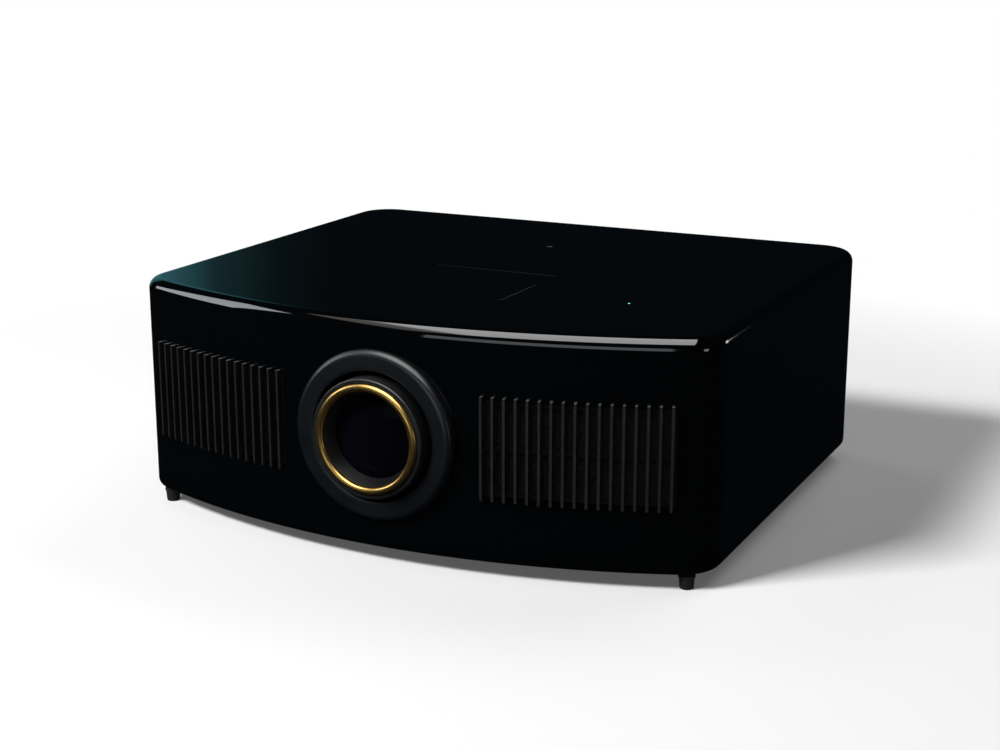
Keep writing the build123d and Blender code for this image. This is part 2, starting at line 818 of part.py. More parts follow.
# Gold trim ring on the front of the focus cell
gold_crest_radius = gold_outer_radius - 1.2
with BuildPart() as gold_ring:
    with BuildSketch(lens_profile):
        with BuildLine():
            Line((gold_inner_radius, -gold_seat), (gold_outer_radius, -gold_seat))
            Line((gold_outer_radius, -gold_seat), (gold_outer_radius, -lens_reach + 1.2))
            ThreePointArc(
                (gold_outer_radius, -lens_reach + 1.2),
                (gold_outer_radius - 0.35, -lens_reach + 0.35),
                (gold_crest_radius, -lens_reach),
            )
            Line((gold_crest_radius, -lens_reach), (gold_crest_radius - 0.8, -lens_reach + 0.2))
            Line((gold_crest_radius - 0.8, -lens_reach + 0.2), (gold_inner_radius, -gold_seat - 0.5))
            Line((gold_inner_radius, -gold_seat - 0.5), (gold_inner_radius, -gold_seat))
        make_face()
    revolve(axis=lens_axis)
gold_ring.part.label = "gold_ring"
export_step(gold_ring.part, "parts/gold_ring.step")

# Front element, seated behind the cone
with BuildPart() as front_lens:
    add(glass_element(lens_profile, lens_axis, cone_end_radius - 0.1, -glass_front, 9.0, 130.0, 400.0))
    with BuildSketch(lens_profile):
        with BuildLine():
            Polyline(
                (0, -glass_front), (front_glass_radius, -glass_front),
                (front_glass_radius, 9.0), (0, 9.0), close=True,
            )
        make_face()
    revolve(axis=lens_axis)
front_lens.part.label = "front_lens"
export_step(front_lens.part, "parts/front_lens.step")

# Zoom cell and its glass, sliding inside the core tube
zoom_rim = 3.0
with BuildPart() as zoom_cell:
    add(
        lens_turning([
            (core_bore - cell_gap - zoom_rim, zoom_cell_start),
            (core_bore - cell_gap, zoom_cell_start),
            (core_bore - cell_gap, zoom_cell_start + zoom_cell_length),
            (core_bore - cell_gap - zoom_rim, zoom_cell_start + zoom_cell_length),
        ])
    )
zoom_cell.part.label = "zoom_cell"
export_step(zoom_cell.part, "parts/zoom_cell.step")

zoom_glass_start = zoom_cell_start + 6.0
with BuildPart() as zoom_lens:
    add(
        glass_element(
            lens_profile, lens_axis, core_bore - cell_gap - zoom_rim - fit_gap,
            zoom_glass_start, zoom_glass_start + 8.0, 120.0, 120.0,
        )
    )
zoom_lens.part.label = "zoom_lens"
export_step(zoom_lens.part, "parts/zoom_lens.step")

# Focus and zoom rings, with gear teeth all round
ring_bore = core_radius + running_gap
for ring_name, start, teeth, angle in (
    ("focus_ring", focus_ring_start, focus_ring_teeth, focus_pinion_angle),
    ("zoom_ring", zoom_ring_start, zoom_ring_teeth, zoom_pinion_angle),
):
    with BuildPart() as toothed_ring:
        with BuildSketch(lens_face(start + ring_width)):
            add(gear_face(teeth, ring_bore, angle))
        extrude(amount=ring_width)
    toothed_ring.part.label = ring_name
    export_step(toothed_ring.part, f"parts/{ring_name}.step")


# The place of a pinion, beside the ring that it drives.
def pinion_spot(ring_teeth, angle):
    distance = gear_module * (ring_teeth + pinion_teeth) / 2
    return (distance * cos(radians(angle)), distance * sin(radians(angle)))


focus_pinion_spot = pinion_spot(focus_ring_teeth, focus_pinion_angle)
zoom_pinion_spot = pinion_spot(zoom_ring_teeth, zoom_pinion_angle)

# Pinions on their motor shafts, with a tooth space facing the ring
half_tooth_turn = 180.0 / pinion_teeth
for pinion_name, start, spot, angle in (
    ("focus_pinion", focus_ring_start + 1, focus_pinion_spot, focus_pinion_angle),
    ("zoom_pinion", zoom_ring_start + 1, zoom_pinion_spot, zoom_pinion_angle),
):
    with BuildPart() as pinion:
        with BuildSketch(lens_face(start + ring_width - 2)):
            with Locations(spot):
                add(gear_face(pinion_teeth, 0, angle + 180.0 + half_tooth_turn))
        extrude(amount=ring_width - 2)
        shaft_end = front_y + motor_start - running_gap
        bar_y(spot[0], front_y + start, shaft_end, lens_z + spot[1], pinion_shaft_radius)
    pinion.part.label = pinion_name
    export_step(pinion.part, f"parts/{pinion_name}.step")

# Focus and zoom motors, standing on the front of the upright carriage
with BuildPart() as lens_motors:
    for spot in (focus_pinion_spot, zoom_pinion_spot):
        bar_y(spot[0], front_y + motor_start, front_y + carriage_z_start, lens_z + spot[1], motor_radius)
    fillet(lens_motors.edges().filter_by(GeomType.CIRCLE).group_by(Axis.Y)[0], 1.0)
lens_motors.part.label = "lens_motors"
export_step(lens_motors.part, "parts/lens_motors.step")

# Upright carriage: the plate that carries the lens up and down
with BuildPart() as shift_carriage_z:
    with BuildSketch(lens_face(plate_back)):
        RectangleRounded(2 * plate_half, 2 * plate_half, 3.0)
        Circle(spigot_radius + fit_gap, mode=Mode.SUBTRACT)
    extrude(amount=carriage_z_thickness)
    plate_top = lens_z + plate_half
    nut_radius = lead_screw_radius + nut_gap
    post(dial_z_x, dial_z_y, plate_top - nut_length, plate_top + 1, nut_radius, mode=Mode.SUBTRACT)
shift_carriage_z.part.label = "shift_carriage_z"
export_step(shift_carriage_z.part, "parts/shift_carriage_z.step")

# Cross carriage: rails for the upright carriage, a screw bracket and a nut block
carriage_x_start = plate_back + running_gap
carriage_x_back = carriage_x_start + carriage_x_thickness
carriage_x_half = plate_half + running_gap + rail_width
carriage_margin = shift_z_travel + rail_hook + panel_gap
carriage_x_top = lens_z + plate_half + carriage_margin
carriage_x_bottom = lens_z - plate_half - carriage_margin
shift_hole = nose_radius + shift_z_travel + shift_x_travel + 2.0
bracket_thickness = 3.0
bracket_z = lens_z + plate_half + shift_z_travel + 2.0
nut_block_low = -36.0
nut_block_high = -20.0
with BuildPart() as shift_carriage_x:
    block(
        (-carriage_x_half, front_y + carriage_x_start, carriage_x_bottom),
        (carriage_x_half, front_y + carriage_x_back, carriage_x_top),
    )
    for side in (-1, 1):
        inner = side * (plate_half + running_gap)
        outer = side * carriage_x_half
        lip = side * (plate_half - rail_lip)
        rail_front = front_y + carriage_z_start - running_gap - 3.0
        block(
            (min(inner, outer), rail_front, lens_z - plate_half - 1),
            (max(inner, outer), front_y + carriage_x_start, lens_z + plate_half + 1),
        )
        block(
            (min(lip, outer), rail_front, lens_z - plate_half - 1),
            (max(lip, outer), front_y + carriage_z_start - running_gap, lens_z + plate_half + 1),
        )
    # Bracket over the upright carriage, which holds the upright lead screw
    block(
        (dial_z_x - 15, dial_z_y - 8, bracket_z),
        (dial_z_x + 15, front_y + carriage_x_back, bracket_z + bracket_thickness),
    )
    block(
        (dial_z_x - 15, front_y + carriage_x_start, carriage_x_top - 1),
        (dial_z_x + 15, front_y + carriage_x_back, bracket_z + bracket_thickness),
    )
    bracket_top = bracket_z + bracket_thickness
    bearing_radius = lead_screw_radius + fit_gap
    post(dial_z_x, dial_z_y, bracket_z - 1, bracket_top + 1, bearing_radius, mode=Mode.SUBTRACT)
    # Nut block for the cross lead screw
    block(
        (nut_block_low, front_y + carriage_x_start, carriage_x_top - 1),
        (nut_block_high, screw_x_y + 6, screw_x_z + screw_ear_top),
    )
    bar_x(nut_block_low - 1, nut_block_high + 1, screw_x_y, screw_x_z, nut_radius, mode=Mode.SUBTRACT)
    # Clear hole for the lens nose
    with BuildSketch(lens_face(carriage_x_back + 1)):
        Circle(shift_hole)
    extrude(amount=carriage_x_thickness + 2, mode=Mode.SUBTRACT)
shift_carriage_x.part.label = "shift_carriage_x"
export_step(shift_carriage_x.part, "parts/shift_carriage_x.step")

# Shift dials: a knob on the upright lead screw and a thumbwheel on the cross lead screw
knob_z = bracket_z + bracket_thickness + running_gap
knob_top = knob_z + 14.0
with BuildPart() as shift_dial_z:
    with BuildSketch(Plane.XY.offset(knob_z)):
        with Locations((dial_z_x, dial_z_y)):
            add(grip_face(dial_radius))
    extrude(amount=knob_top - knob_z)
    post(dial_z_x, dial_z_y, plate_top - nut_length + shift_z_travel + 0.4, knob_z + 1, lead_screw_radius)
    post(dial_z_x, dial_z_y, bracket_z - running_gap - collar_length, bracket_z - running_gap, collar_radius)
shift_dial_z.part.label = "shift_dial_z"
export_step(shift_dial_z.part, "parts/shift_dial_z.step")

ear_spots = ((-60.0, -56.0), (-12.0, -8.0))
with BuildPart() as shift_dial_x:
    with BuildSketch(Plane.YZ.offset(wheel_x_low)):
        with Locations((screw_x_y, screw_x_z)):
            add(grip_face(dial_radius))
    extrude(amount=wheel_x_high - wheel_x_low)
    bar_x(ear_spots[0][0] - 2, ear_spots[1][1] + 2, screw_x_y, screw_x_z, lead_screw_radius)
    # Collars beside the two bearing ears
    right_ear = ear_spots[1][0] - running_gap
    bar_x(ear_spots[0][1] + running_gap, wheel_x_low, screw_x_y, screw_x_z, collar_radius)
    bar_x(right_ear - collar_length, right_ear, screw_x_y, screw_x_z, collar_radius)
shift_dial_x.part.label = "shift_dial_x"
export_step(shift_dial_x.part, "parts/shift_dial_x.step")

# Light engine housing: the lens face with its rails, the prism chamber and the light channel
face_start = carriage_x_back + running_gap
face_back = face_start + 6.0
rail_y = front_y + carriage_x_start - running_gap
rail_top = carriage_x_top + running_gap + engine_margin
rail_bottom = carriage_x_bottom - running_gap - engine_margin
chamber_back = light_path_y + prism_size / 2 + 1.0
chamber_inner = prism_size / 2 + seat_gap
chamber_outer = chamber_inner + 4.0
relay_end = -78.0
relay_inner = 19.0
relay_outer = 22.0
channel_end = wheel_x + 2.0
tunnel_leg_x = channel_end + 16.0
tunnel_half_y = 7.0
tunnel_half_z = 6.0
channel_wall = 3.0
leg_half = 6.0
aperture_half = 46.0
aperture_thickness = 4.0
with BuildPart() as engine_housing:
    # Lens face, with upper corners for the short rails
    block(
        (-carriage_x_half - engine_margin, front_y + face_start, rail_bottom),
        (carriage_x_half + engine_margin, front_y + face_back, carriage_x_top - rail_depth),
    )
    for side in (-1, 1):
        near = side * 48.0
        far = side * (carriage_x_half + engine_margin)
        block(
            (min(near, far), rail_y - rail_depth, carriage_x_top + running_gap),
            (max(near, far), front_y + face_back, rail_top),
        )
        block(
            (min(near, far), rail_y - rail_depth, carriage_x_top - rail_hook),
            (max(near, far), rail_y, rail_top),
        )
        block(
            (min(near, far), front_y + face_start, carriage_x_top - 4),
            (max(near, far), front_y + face_back, rail_top),
        )
    # Lower rail
    block(
        (-carriage_x_half - engine_margin, rail_y - rail_depth, rail_bottom),
        (carriage_x_half + engine_margin, front_y + face_back, carriage_x_bottom - running_gap),
    )
    block(
        (-carriage_x_half - engine_margin, rail_y - rail_depth, rail_bottom),
        (carriage_x_half + engine_margin, rail_y, carriage_x_bottom + rail_hook),
    )
    # Ears that hold the cross lead screw
    for low, high in ear_spots:
        block(
            (low, front_y + face_back - 1, screw_x_z - 26),
            (high, screw_x_y + 6, screw_x_z + screw_ear_top),
        )
        bar_x(low - 1, high + 1, screw_x_y, screw_x_z, bearing_radius, mode=Mode.SUBTRACT)
    # Aperture plate, prism chamber and relay channel
    block(
        (-aperture_half, front_y + face_back - 0.5, lens_z - aperture_half),
        (aperture_half, front_y + face_back + aperture_thickness, lens_z + aperture_half),
    )
    block(
        (-chamber_outer, front_y + face_back, lens_z - chamber_outer),
        (chamber_outer, front_y + chamber_back, lens_z + chamber_outer),
    )
    block(
        (relay_end, path_y - relay_outer, lens_z - relay_outer),
        (-chamber_outer + 1, path_y + relay_outer - 3, lens_z + relay_outer),
    )
    block(
        (channel_end, path_y - tunnel_half_y - channel_wall, lens_z - tunnel_half_z - channel_wall),
        (relay_end + 1, path_y + tunnel_half_y + channel_wall, lens_z + tunnel_half_z + channel_wall),
    )
    # Bracket of the colour wheel's motor
    block(
        (wheel_x + 17, path_y - 10, lens_z + tunnel_half_z),
        (wheel_x + 20, path_y + 10, lens_z + wheel_track + wheel_motor_radius + 2),
    )
    # Legs down to the base tray
    for side in (-1, 1):
        block(
            (side * 60 - leg_half, front_y + face_start - leg_half, floor_z),
            (side * 60 + leg_half, front_y + face_back, carriage_x_bottom - 4),
        )
    block(
        (-leg_half, front_y + chamber_back - 2 * leg_half, floor_z),
        (leg_half, front_y + chamber_back, lens_z - chamber_outer + 1),
    )
    block(
        (tunnel_leg_x - leg_half, path_y - leg_half, floor_z),
        (tunnel_leg_x + leg_half, path_y + leg_half, lens_z - tunnel_half_z - channel_wall + 1),
    )
    # Hollows for the lens nose, the prism, the relay lenses and the light tunnel
    with BuildSketch(lens_face(face_back)):
        Circle(shift_hole)
    extrude(amount=face_back - face_start, mode=Mode.SUBTRACT)
    block(
        (-chamber_inner, front_y + face_back - 2, lens_z - chamber_inner),
        (chamber_inner, front_y + chamber_back + 1, lens_z + chamber_inner),
        mode=Mode.SUBTRACT,
    )
    bar_x(relay_end + 3, 0, path_y, lens_z, relay_inner - 1, mode=Mode.SUBTRACT)
    block(
        (channel_end - 1, path_y - tunnel_half_y, lens_z - tunnel_half_z),
        (relay_end + 4, path_y + tunnel_half_y, lens_z + tunnel_half_z),
        mode=Mode.SUBTRACT,
    )
engine_housing.part.label = "engine_housing"
export_step(engine_housing.part, "parts/engine_housing.step")

# Prism block with chamfered upright edges
with BuildPart() as prism:
    block(
        (-prism_size / 2, path_y - prism_size / 2, lens_z - prism_size / 2),
        (prism_size / 2, path_y + prism_size / 2, lens_z + prism_size / 2),
    )
    chamfer(prism.edges().filter_by(Axis.Z), 2.0)
prism.part.label = "prism"
export_step(prism.part, "parts/prism.step")

# Mirror chip over the open back of the chamber, with its board and heat sink
chip_thickness = 4.0
chip_board_back = chamber_back + chip_thickness + board_thickness
with BuildPart() as mirror_chip:
    with BuildSketch(lens_face(chamber_back + chip_thickness)):
        Rectangle(2 * chamber_outer - 2, 2 * chamber_outer - 2)
    extrude(amount=chip_thickness)
    with BuildSketch(lens_face(chamber_back)):
        Rectangle(24.0, 15.0)
    extrude(amount=0.8)
mirror_chip.part.label = "mirror_chip"
export_step(mirror_chip.part, "parts/mirror_chip.step")

chip_board_half_x = 42.0
chip_board_half_z = 37.0
with BuildPart() as chip_board:
    with BuildSketch(lens_face(chip_board_back)):
        Rectangle(2 * chip_board_half_x, 2 * chip_board_half_z)
    extrude(amount=board_thickness)
    block(
        (-12, front_y + chip_board_back, lens_z - chip_board_half_z + 1),
        (12, front_y + chip_board_back + 4, lens_z - chip_board_half_z + 6),
    )
chip_board.part.label = "chip_board"
export_step(chip_board.part, "parts/chip_board.step")

sink_width = 60.0
sink_height = 56.0
sink_base = 5.0
sink_depth = 30.0
fin_count = 10
fin_thickness = 2.0
with BuildPart() as chip_heatsink:
    with BuildSketch(lens_face(chip_board_back + sink_base)):
        Rectangle(sink_width, sink_height)
    extrude(amount=sink_base)
    fin_pitch = (sink_width - fin_thickness) / (fin_count - 1)
    with BuildSketch(lens_face(chip_board_back + sink_depth)):
        with GridLocations(fin_pitch, 0, fin_count, 1):
            Rectangle(fin_thickness, sink_height)
    extrude(amount=sink_depth - sink_base)
chip_heatsink.part.label = "chip_heatsink"
export_step(chip_heatsink.part, "parts/chip_heatsink.step")

# Light tunnel and relay lenses in the channel
with BuildPart() as light_tunnel:
    with BuildSketch(Plane.YZ.offset(channel_end + 2)):
        with Locations((path_y, lens_z)):
            Rectangle(2 * (tunnel_half_y - seat_gap), 2 * (tunnel_half_z - seat_gap))
            Rectangle(8.0, 6.0, mode=Mode.SUBTRACT)
    extrude(amount=relay_end - channel_end - 4)
light_tunnel.part.label = "light_tunnel"
export_step(light_tunnel.part, "parts/light_tunnel.step")

relay_axis = Axis((0, path_y, lens_z), (1, 0, 0))
relay_radius = relay_inner - 1 - seat_gap
with BuildPart() as relay_lenses:
    for start in (relay_end + 8, relay_end + 28):
        relay_profile = Plane(origin=(start, path_y, lens_z), x_dir=(0, 0, 1), z_dir=(0, 1, 0))
        add(glass_element(relay_profile, relay_axis, relay_radius, 0, 4.0, 60.0, 60.0))
relay_lenses.part.label = "relay_lenses"
export_step(relay_lenses.part, "parts/relay_lenses.step")

# Colour wheel and its motor
wheel_z = lens_z + wheel_track
with BuildPart() as colour_wheel:
    bar_x(wheel_x - 0.5, wheel_x + 0.5, path_y, wheel_z, wheel_radius)
    bar_x(wheel_x - 2.5, wheel_x + 2.7, path_y, wheel_z, wheel_motor_radius)
colour_wheel.part.label = "colour_wheel"
export_step(colour_wheel.part, "parts/colour_wheel.step")

with BuildPart() as colour_wheel_motor:
    bar_x(wheel_x + 2.7 + running_gap, wheel_x + 17, path_y, wheel_z, wheel_motor_radius)
    fillet(colour_wheel_motor.edges().filter_by(GeomType.CIRCLE).sort_by(Axis.X)[0], 1.0)
colour_wheel_motor.part.label = "colour_wheel_motor"
export_step(colour_wheel_motor.part, "parts/colour_wheel_motor.step")

# Lamp module: an open cage with a pull handle, the glass reflector and the burner
mouth_x = lamp_front_x - 9.0
handle_thickness = 6.0
handle_x = lamp_back_x - lamp_handle_reach + handle_thickness
mouth_radius = 26.0
neck_radius = 8.0
reflector_depth = 38.0
reflector_wall = 3.0
neck_length = 12.0
with BuildPart() as lamp_housing:
    block(
        (lamp_back_x, path_y - lamp_half, lens_z - lamp_half),
        (lamp_front_x, path_y + lamp_half, lens_z + lamp_half),
    )
    block(
        (lamp_back_x - 1, path_y - lamp_half + lamp_wall, lens_z - lamp_half + lamp_wall),
        (lamp_front_x - lamp_wall, path_y + lamp_half - lamp_wall, lens_z + lamp_half - lamp_wall),
        mode=Mode.SUBTRACT,
    )
    # Seat ring for the reflector, then the light window
    bar_x(mouth_x, lamp_front_x, path_y, lens_z, mouth_radius + reflector_wall)
    bar_x(mouth_x - 1, lamp_front_x + 1, path_y, lens_z, mouth_radius - 2, mode=Mode.SUBTRACT)
    # Air slots in the top
    for x in range(5):
        block(
            (lamp_back_x + 10 + x * 9, path_y - 20, lens_z + lamp_half - lamp_wall - 1),
            (lamp_back_x + 14 + x * 9, path_y + 20, lens_z + lamp_half + 1),
            mode=Mode.SUBTRACT,
        )
    # Pull handle
    for side in (-1, 1):
        block(
            (handle_x, path_y + side * 22 - 3, lens_z - lamp_half),
            (lamp_back_x + 1, path_y + side * 22 + 3, lens_z - lamp_half + lamp_wall),
        )
    block(
        (handle_x - handle_thickness, path_y - 25, lens_z - lamp_half),
        (handle_x, path_y + 25, lens_z - lamp_half + 14),
    )
lamp_housing.part.label = "lamp_housing"
export_step(lamp_housing.part, "parts/lamp_housing.step")

lamp_axis = Axis((0, path_y, lens_z), (1, 0, 0))
lamp_profile = Plane(origin=(mouth_x, path_y, lens_z), x_dir=(0, 0, 1), z_dir=(0, -1, 0))
with BuildPart() as lamp_reflector:
    with BuildSketch(lamp_profile):
        with BuildLine():
            outer_mouth = mouth_radius + reflector_wall
            outer_neck = neck_radius + reflector_wall
            waist = reflector_depth * 0.6
            neck_end = reflector_depth + neck_length
            ThreePointArc((mouth_radius, 0), (mouth_radius * 0.8, waist), (neck_radius, reflector_depth))
            Line((neck_radius, reflector_depth), (neck_radius, neck_end))
            Line((neck_radius, neck_end), (outer_neck, neck_end))
            Line((outer_neck, neck_end), (outer_neck, reflector_depth + 1))
            ThreePointArc((outer_neck, reflector_depth + 1), (outer_mouth * 0.82, waist), (outer_mouth, 0))
            Line((outer_mouth, 0), (mouth_radius, 0))
        make_face()
    revolve(axis=lamp_axis)
lamp_reflector.part.label = "lamp_reflector"
export_step(lamp_reflector.part, "parts/lamp_reflector.step")

with BuildPart() as lamp_burner:
    burner_back = mouth_x - reflector_depth - neck_length - 2
    bar_x(burner_back, mouth_x - 4, path_y, lens_z, 2.6)
    with Locations((mouth_x - reflector_depth + 14, path_y, lens_z)):
        Sphere(5.5)
    bar_x(burner_back, mouth_x - reflector_depth + 2, path_y, lens_z, neck_radius - fit_gap)
lamp_burner.part.label = "lamp_burner"
export_step(lamp_burner.part, "parts/lamp_burner.step")

# Lamp ballast in its tin, standing on the floor
ballast_low = (-right_x + 24.0, front_y + 254.0)
ballast_high = (-right_x + 90.0, front_y + 344.0)
ballast_height = 34.0
with BuildPart() as ballast:
    block((*ballast_low, floor_z), (*ballast_high, floor_z + ballast_height))
    fillet(ballast.edges().filter_by(Axis.Z), 2.0)
    with BuildSketch(Plane.XY.offset(floor_z + ballast_height)):
        with Locations(((ballast_low[0] + ballast_high[0]) / 2, (ballast_low[1] + ballast_high[1]) / 2)):
            with GridLocations(10.0, 0, 5, 1):
                SlotOverall(60.0, 3.0, rotation=90)
    extrude(amount=-1.2, mode=Mode.SUBTRACT)
ballast.part.label = "ballast"
export_step(ballast.part, "parts/ballast.step")

# Power supply board with its soldered parts
supply_z = floor_z + supply_post
supply_top = supply_z + board_thickness
with BuildPart() as power_supply:
    block((*supply_low, supply_z), (*supply_high, supply_top))
    block(
        (supply_low[0] + 12, supply_low[1] + 60, supply_top),
        (supply_low[0] + 52, supply_low[1] + 96, supply_top + 34),
    )
    block(
        (supply_low[0] + 66, supply_low[1] + 14, supply_top),
        (supply_low[0] + 70, supply_low[1] + 110, supply_top + 40),
    )
    for y in (24.0, 50.0):
        post(supply_low[0] + 26, supply_low[1] + y - 2, supply_top, supply_top + 32, 11.0)
    for y in (112.0, 128.0, 144.0):
        post(supply_low[0] + 20, supply_low[1] + y, supply_top, supply_top + 22, 6.5)
    block(
        (inlet_x - 10, supply_high[1] - 14, supply_top),
        (inlet_x + 10, supply_high[1] - 2, supply_top + 16),
    )
power_supply.part.label = "power_supply"
export_step(power_supply.part, "parts/power_supply.step")

# Main board along the back, with the key board standing on it
key_board_y = panel_y - 16.0
key_names = ("power_button", "menu_button", "up_button", "down_button")
key_spots = [first_button_x - key * button_pitch for key in range(len(key_names))]
key_z = body_bottom + button_height
key_stem_radius = 1.75
key_switch_length = 2.6
with BuildPart() as main_board:
    block(
        (board_left_x, back_y - board_reach, board_z),
        (board_right_x, panel_y - panel_thickness - 1, board_top),
    )
    block(
        (key_spots[-1] - 10, key_board_y - board_thickness, board_top),
        (key_spots[0] + 10, key_board_y, key_z + 8),
    )
    # Switch under each key
    for x in key_spots:
        bar_y(x, key_board_y, key_board_y + key_switch_length, key_z, key_stem_radius)
    # Processor with its heat sink, memory chips and the flat cable's socket
    block((-20, back_y - 78, board_top), (16, back_y - 44, board_top + 3))
    for fin in range(7):
        block((-20 + fin * 5.5, back_y - 78, board_top + 3), (-17 + fin * 5.5, back_y - 44, board_top + 14))
    for x in (36.0, 54.0, 72.0):
        block((x, back_y - 70, board_top), (x + 12, back_y - 58, board_top + 1.4))
    block((-12, back_y - 102, board_top), (12, back_y - 96, board_top + 5))
main_board.part.label = "main_board"
export_step(main_board.part, "parts/main_board.step")

# Rear panel: a shallow tray that forms the connector bay
bay_middle = body_bottom + bay_bottom + bay_height / 2
lan_size = (16.0, 13.5)
hdmi_size = (15.2, 5.7)
d_sub_flange = (31.0, 12.6)
d_sub_shell = (17.0, 8.6)
d_sub_z = board_top + d_sub_flange[1] / 2
rca_z = board_top + 11.0
rca_radius = 4.15
trigger_radius = 4.0
with BuildPart() as rear_panel:
    with BuildSketch(elevation(back_y - seat_gap)):
        with Locations((0, bay_middle)):
            RectangleRounded(bay_width - 2 * seat_gap, bay_height - 2 * seat_gap, bay_corner - seat_gap)
    extrude(amount=bay_depth + panel_thickness - seat_gap)
    with BuildSketch(elevation(back_y - wall)):
        with Locations((0, bay_middle)):
            Rectangle(bay_width + 2 * bay_flange, bay_height + 2 * bay_flange)
    extrude(amount=panel_thickness)
    with BuildSketch(elevation(back_y + 1)):
        with Locations((0, bay_middle)):
            skin = seat_gap + panel_thickness
            RectangleRounded(bay_width - 2 * skin, bay_height - 2 * skin, bay_corner - skin)
    extrude(amount=bay_depth + 1, mode=Mode.SUBTRACT)
    # Cut-outs for the inlet, the sockets and the keys
    with BuildSketch(elevation(panel_y + 1)):
        with Locations((inlet_x, body_bottom + inlet_middle)):
            Rectangle(inlet_width - 3 + 2 * seat_gap, inlet_height - 3 + 2 * seat_gap)
        with Locations((lan_x, board_top + lan_size[1] / 2)):
            Rectangle(lan_size[0] + 2 * seat_gap, lan_size[1] + 2 * seat_gap)
        with Locations(*[(x, board_top + hdmi_size[1] / 2) for x in hdmi_spots]):
            Rectangle(hdmi_size[0] + 2 * seat_gap, hdmi_size[1] + 2 * seat_gap)
        with Locations(*[(x, d_sub_z) for x in d_sub_spots]):
            Rectangle(d_sub_shell[0] + 3, d_sub_shell[1] + 2)
        with Locations(*[(x, rca_z) for x in rca_spots]):
            Circle(rca_radius + seat_gap)
        with Locations((trigger_x, rca_z)):
            Circle(trigger_radius + seat_gap)
        with Locations(*[(x, key_z) for x in key_spots]):
            Circle(button_radius + running_gap)
        with Locations((panel_slots_x, key_z)):
            with GridLocations(7.0, 0, panel_slot_count, 1):
                SlotOverall(26.0, 3.0, rotation=90)
    extrude(amount=panel_thickness + 2, mode=Mode.SUBTRACT)
rear_panel.part.label = "rear_panel"
export_step(rear_panel.part, "parts/rear_panel.step")

# Mains inlet: one moulding with the inlet cavity below and the switch opening above
cavity_width = 24.6
cavity_height = 17.0
cavity_depth = 17.0
cavity_chamfer = 4.5
cavity_z = body_bottom + inlet_middle - 14.0
rocker_z = body_bottom + inlet_middle + 16.0
rocker_y = panel_y + inlet_flange - 1.0
inlet_back = panel_y - inlet_depth
with BuildPart() as mains_inlet:
    with BuildSketch(elevation(panel_y + inlet_flange)):
        with Locations((inlet_x, body_bottom + inlet_middle)):
            RectangleRounded(inlet_width, inlet_height, 2.0)
    extrude(amount=inlet_flange)
    with BuildSketch(elevation(panel_y)):
        with Locations((inlet_x, body_bottom + inlet_middle)):
            Rectangle(inlet_width - 3, inlet_height - 3)
    extrude(amount=panel_y - inlet_back)
    # Inlet cavity with two cut corners, and its three blades
    with BuildSketch(elevation(panel_y + inlet_flange)) as cavity:
        with Locations((inlet_x, cavity_z)):
            Rectangle(cavity_width, cavity_height)
        chamfer(cavity.vertices().group_by(Axis.Y)[-1], cavity_chamfer)
    extrude(amount=cavity_depth, mode=Mode.SUBTRACT)
    with BuildSketch(elevation(panel_y + inlet_flange - 5.0)):
        with Locations((inlet_x - 7, cavity_z - 2), (inlet_x + 7, cavity_z - 2), (inlet_x, cavity_z + 2)):
            Rectangle(2.0, 4.0)
    extrude(amount=cavity_depth - 4.0)
    # Switch opening, with the pivot hole through its two cheeks
    block(
        (inlet_x - rocker_width / 2 - running_gap, panel_y - 12, rocker_z - rocker_radius - running_gap),
        (inlet_x + rocker_width / 2 + running_gap, panel_y + 3, rocker_z + rocker_radius + running_gap),
        mode=Mode.SUBTRACT,
    )
    pin_reach = rocker_width / 2 + rocker_pin_length + running_gap
    bar_x(
        inlet_x - pin_reach, inlet_x + pin_reach, rocker_y, rocker_z, rocker_pin_radius + fit_gap,
        mode=Mode.SUBTRACT,
    )
mains_inlet.part.label = "mains_inlet"
export_step(mains_inlet.part, "parts/mains_inlet.step")

# Rocker: a round-backed switch cap with a shallow valley across its face, its lower half pressed in
with BuildPart() as power_rocker:
    bar_x(inlet_x - rocker_width / 2, inlet_x + rocker_width / 2, rocker_y, rocker_z, rocker_radius)
    rocker_plane = Plane(
        origin=(inlet_x - rocker_width / 2 - 1, rocker_y, rocker_z),
        x_dir=(0, cos(radians(rocker_tilt)), -sin(radians(rocker_tilt))), z_dir=(1, 0, 0),
    )
    with BuildSketch(rocker_plane):
        with BuildLine():
            rise = rocker_radius * tan(radians(rocker_tilt))
            edge = rocker_radius + 1
            Polyline(
                (rocker_face, 0), (rocker_face + rise, edge), (2 * edge, edge),
                (2 * edge, -edge), (rocker_face + rise, -edge), close=True,
            )
        make_face()
    extrude(amount=rocker_width + 2, mode=Mode.SUBTRACT)
    bar_x(
        inlet_x - rocker_width / 2 - rocker_pin_length, inlet_x + rocker_width / 2 + rocker_pin_length,
        rocker_y, rocker_z, rocker_pin_radius,
    )
power_rocker.part.label = "power_rocker"
export_step(power_rocker.part, "parts/power_rocker.step")

# Four keys in the rear panel, each with a stem that reaches its switch
flange_back = panel_y - panel_thickness - running_gap
flange_width = 1.2
stem_start = key_board_y + key_switch_length + button_travel + 0.1
for key_x, key_name in zip(key_spots, key_names):
    with BuildPart() as button:
        bar_y(key_x, flange_back - flange_width, panel_y + button_proud, key_z, button_radius)
        fillet(button.edges().filter_by(GeomType.CIRCLE).sort_by(Axis.Y)[-1], 0.5)
        bar_y(key_x, flange_back - flange_width, flange_back, key_z, button_radius + flange_width)
        bar_y(key_x, stem_start, flange_back, key_z, key_stem_radius)
    button.part.label = key_name
    export_step(button.part, f"parts/{key_name}.step")

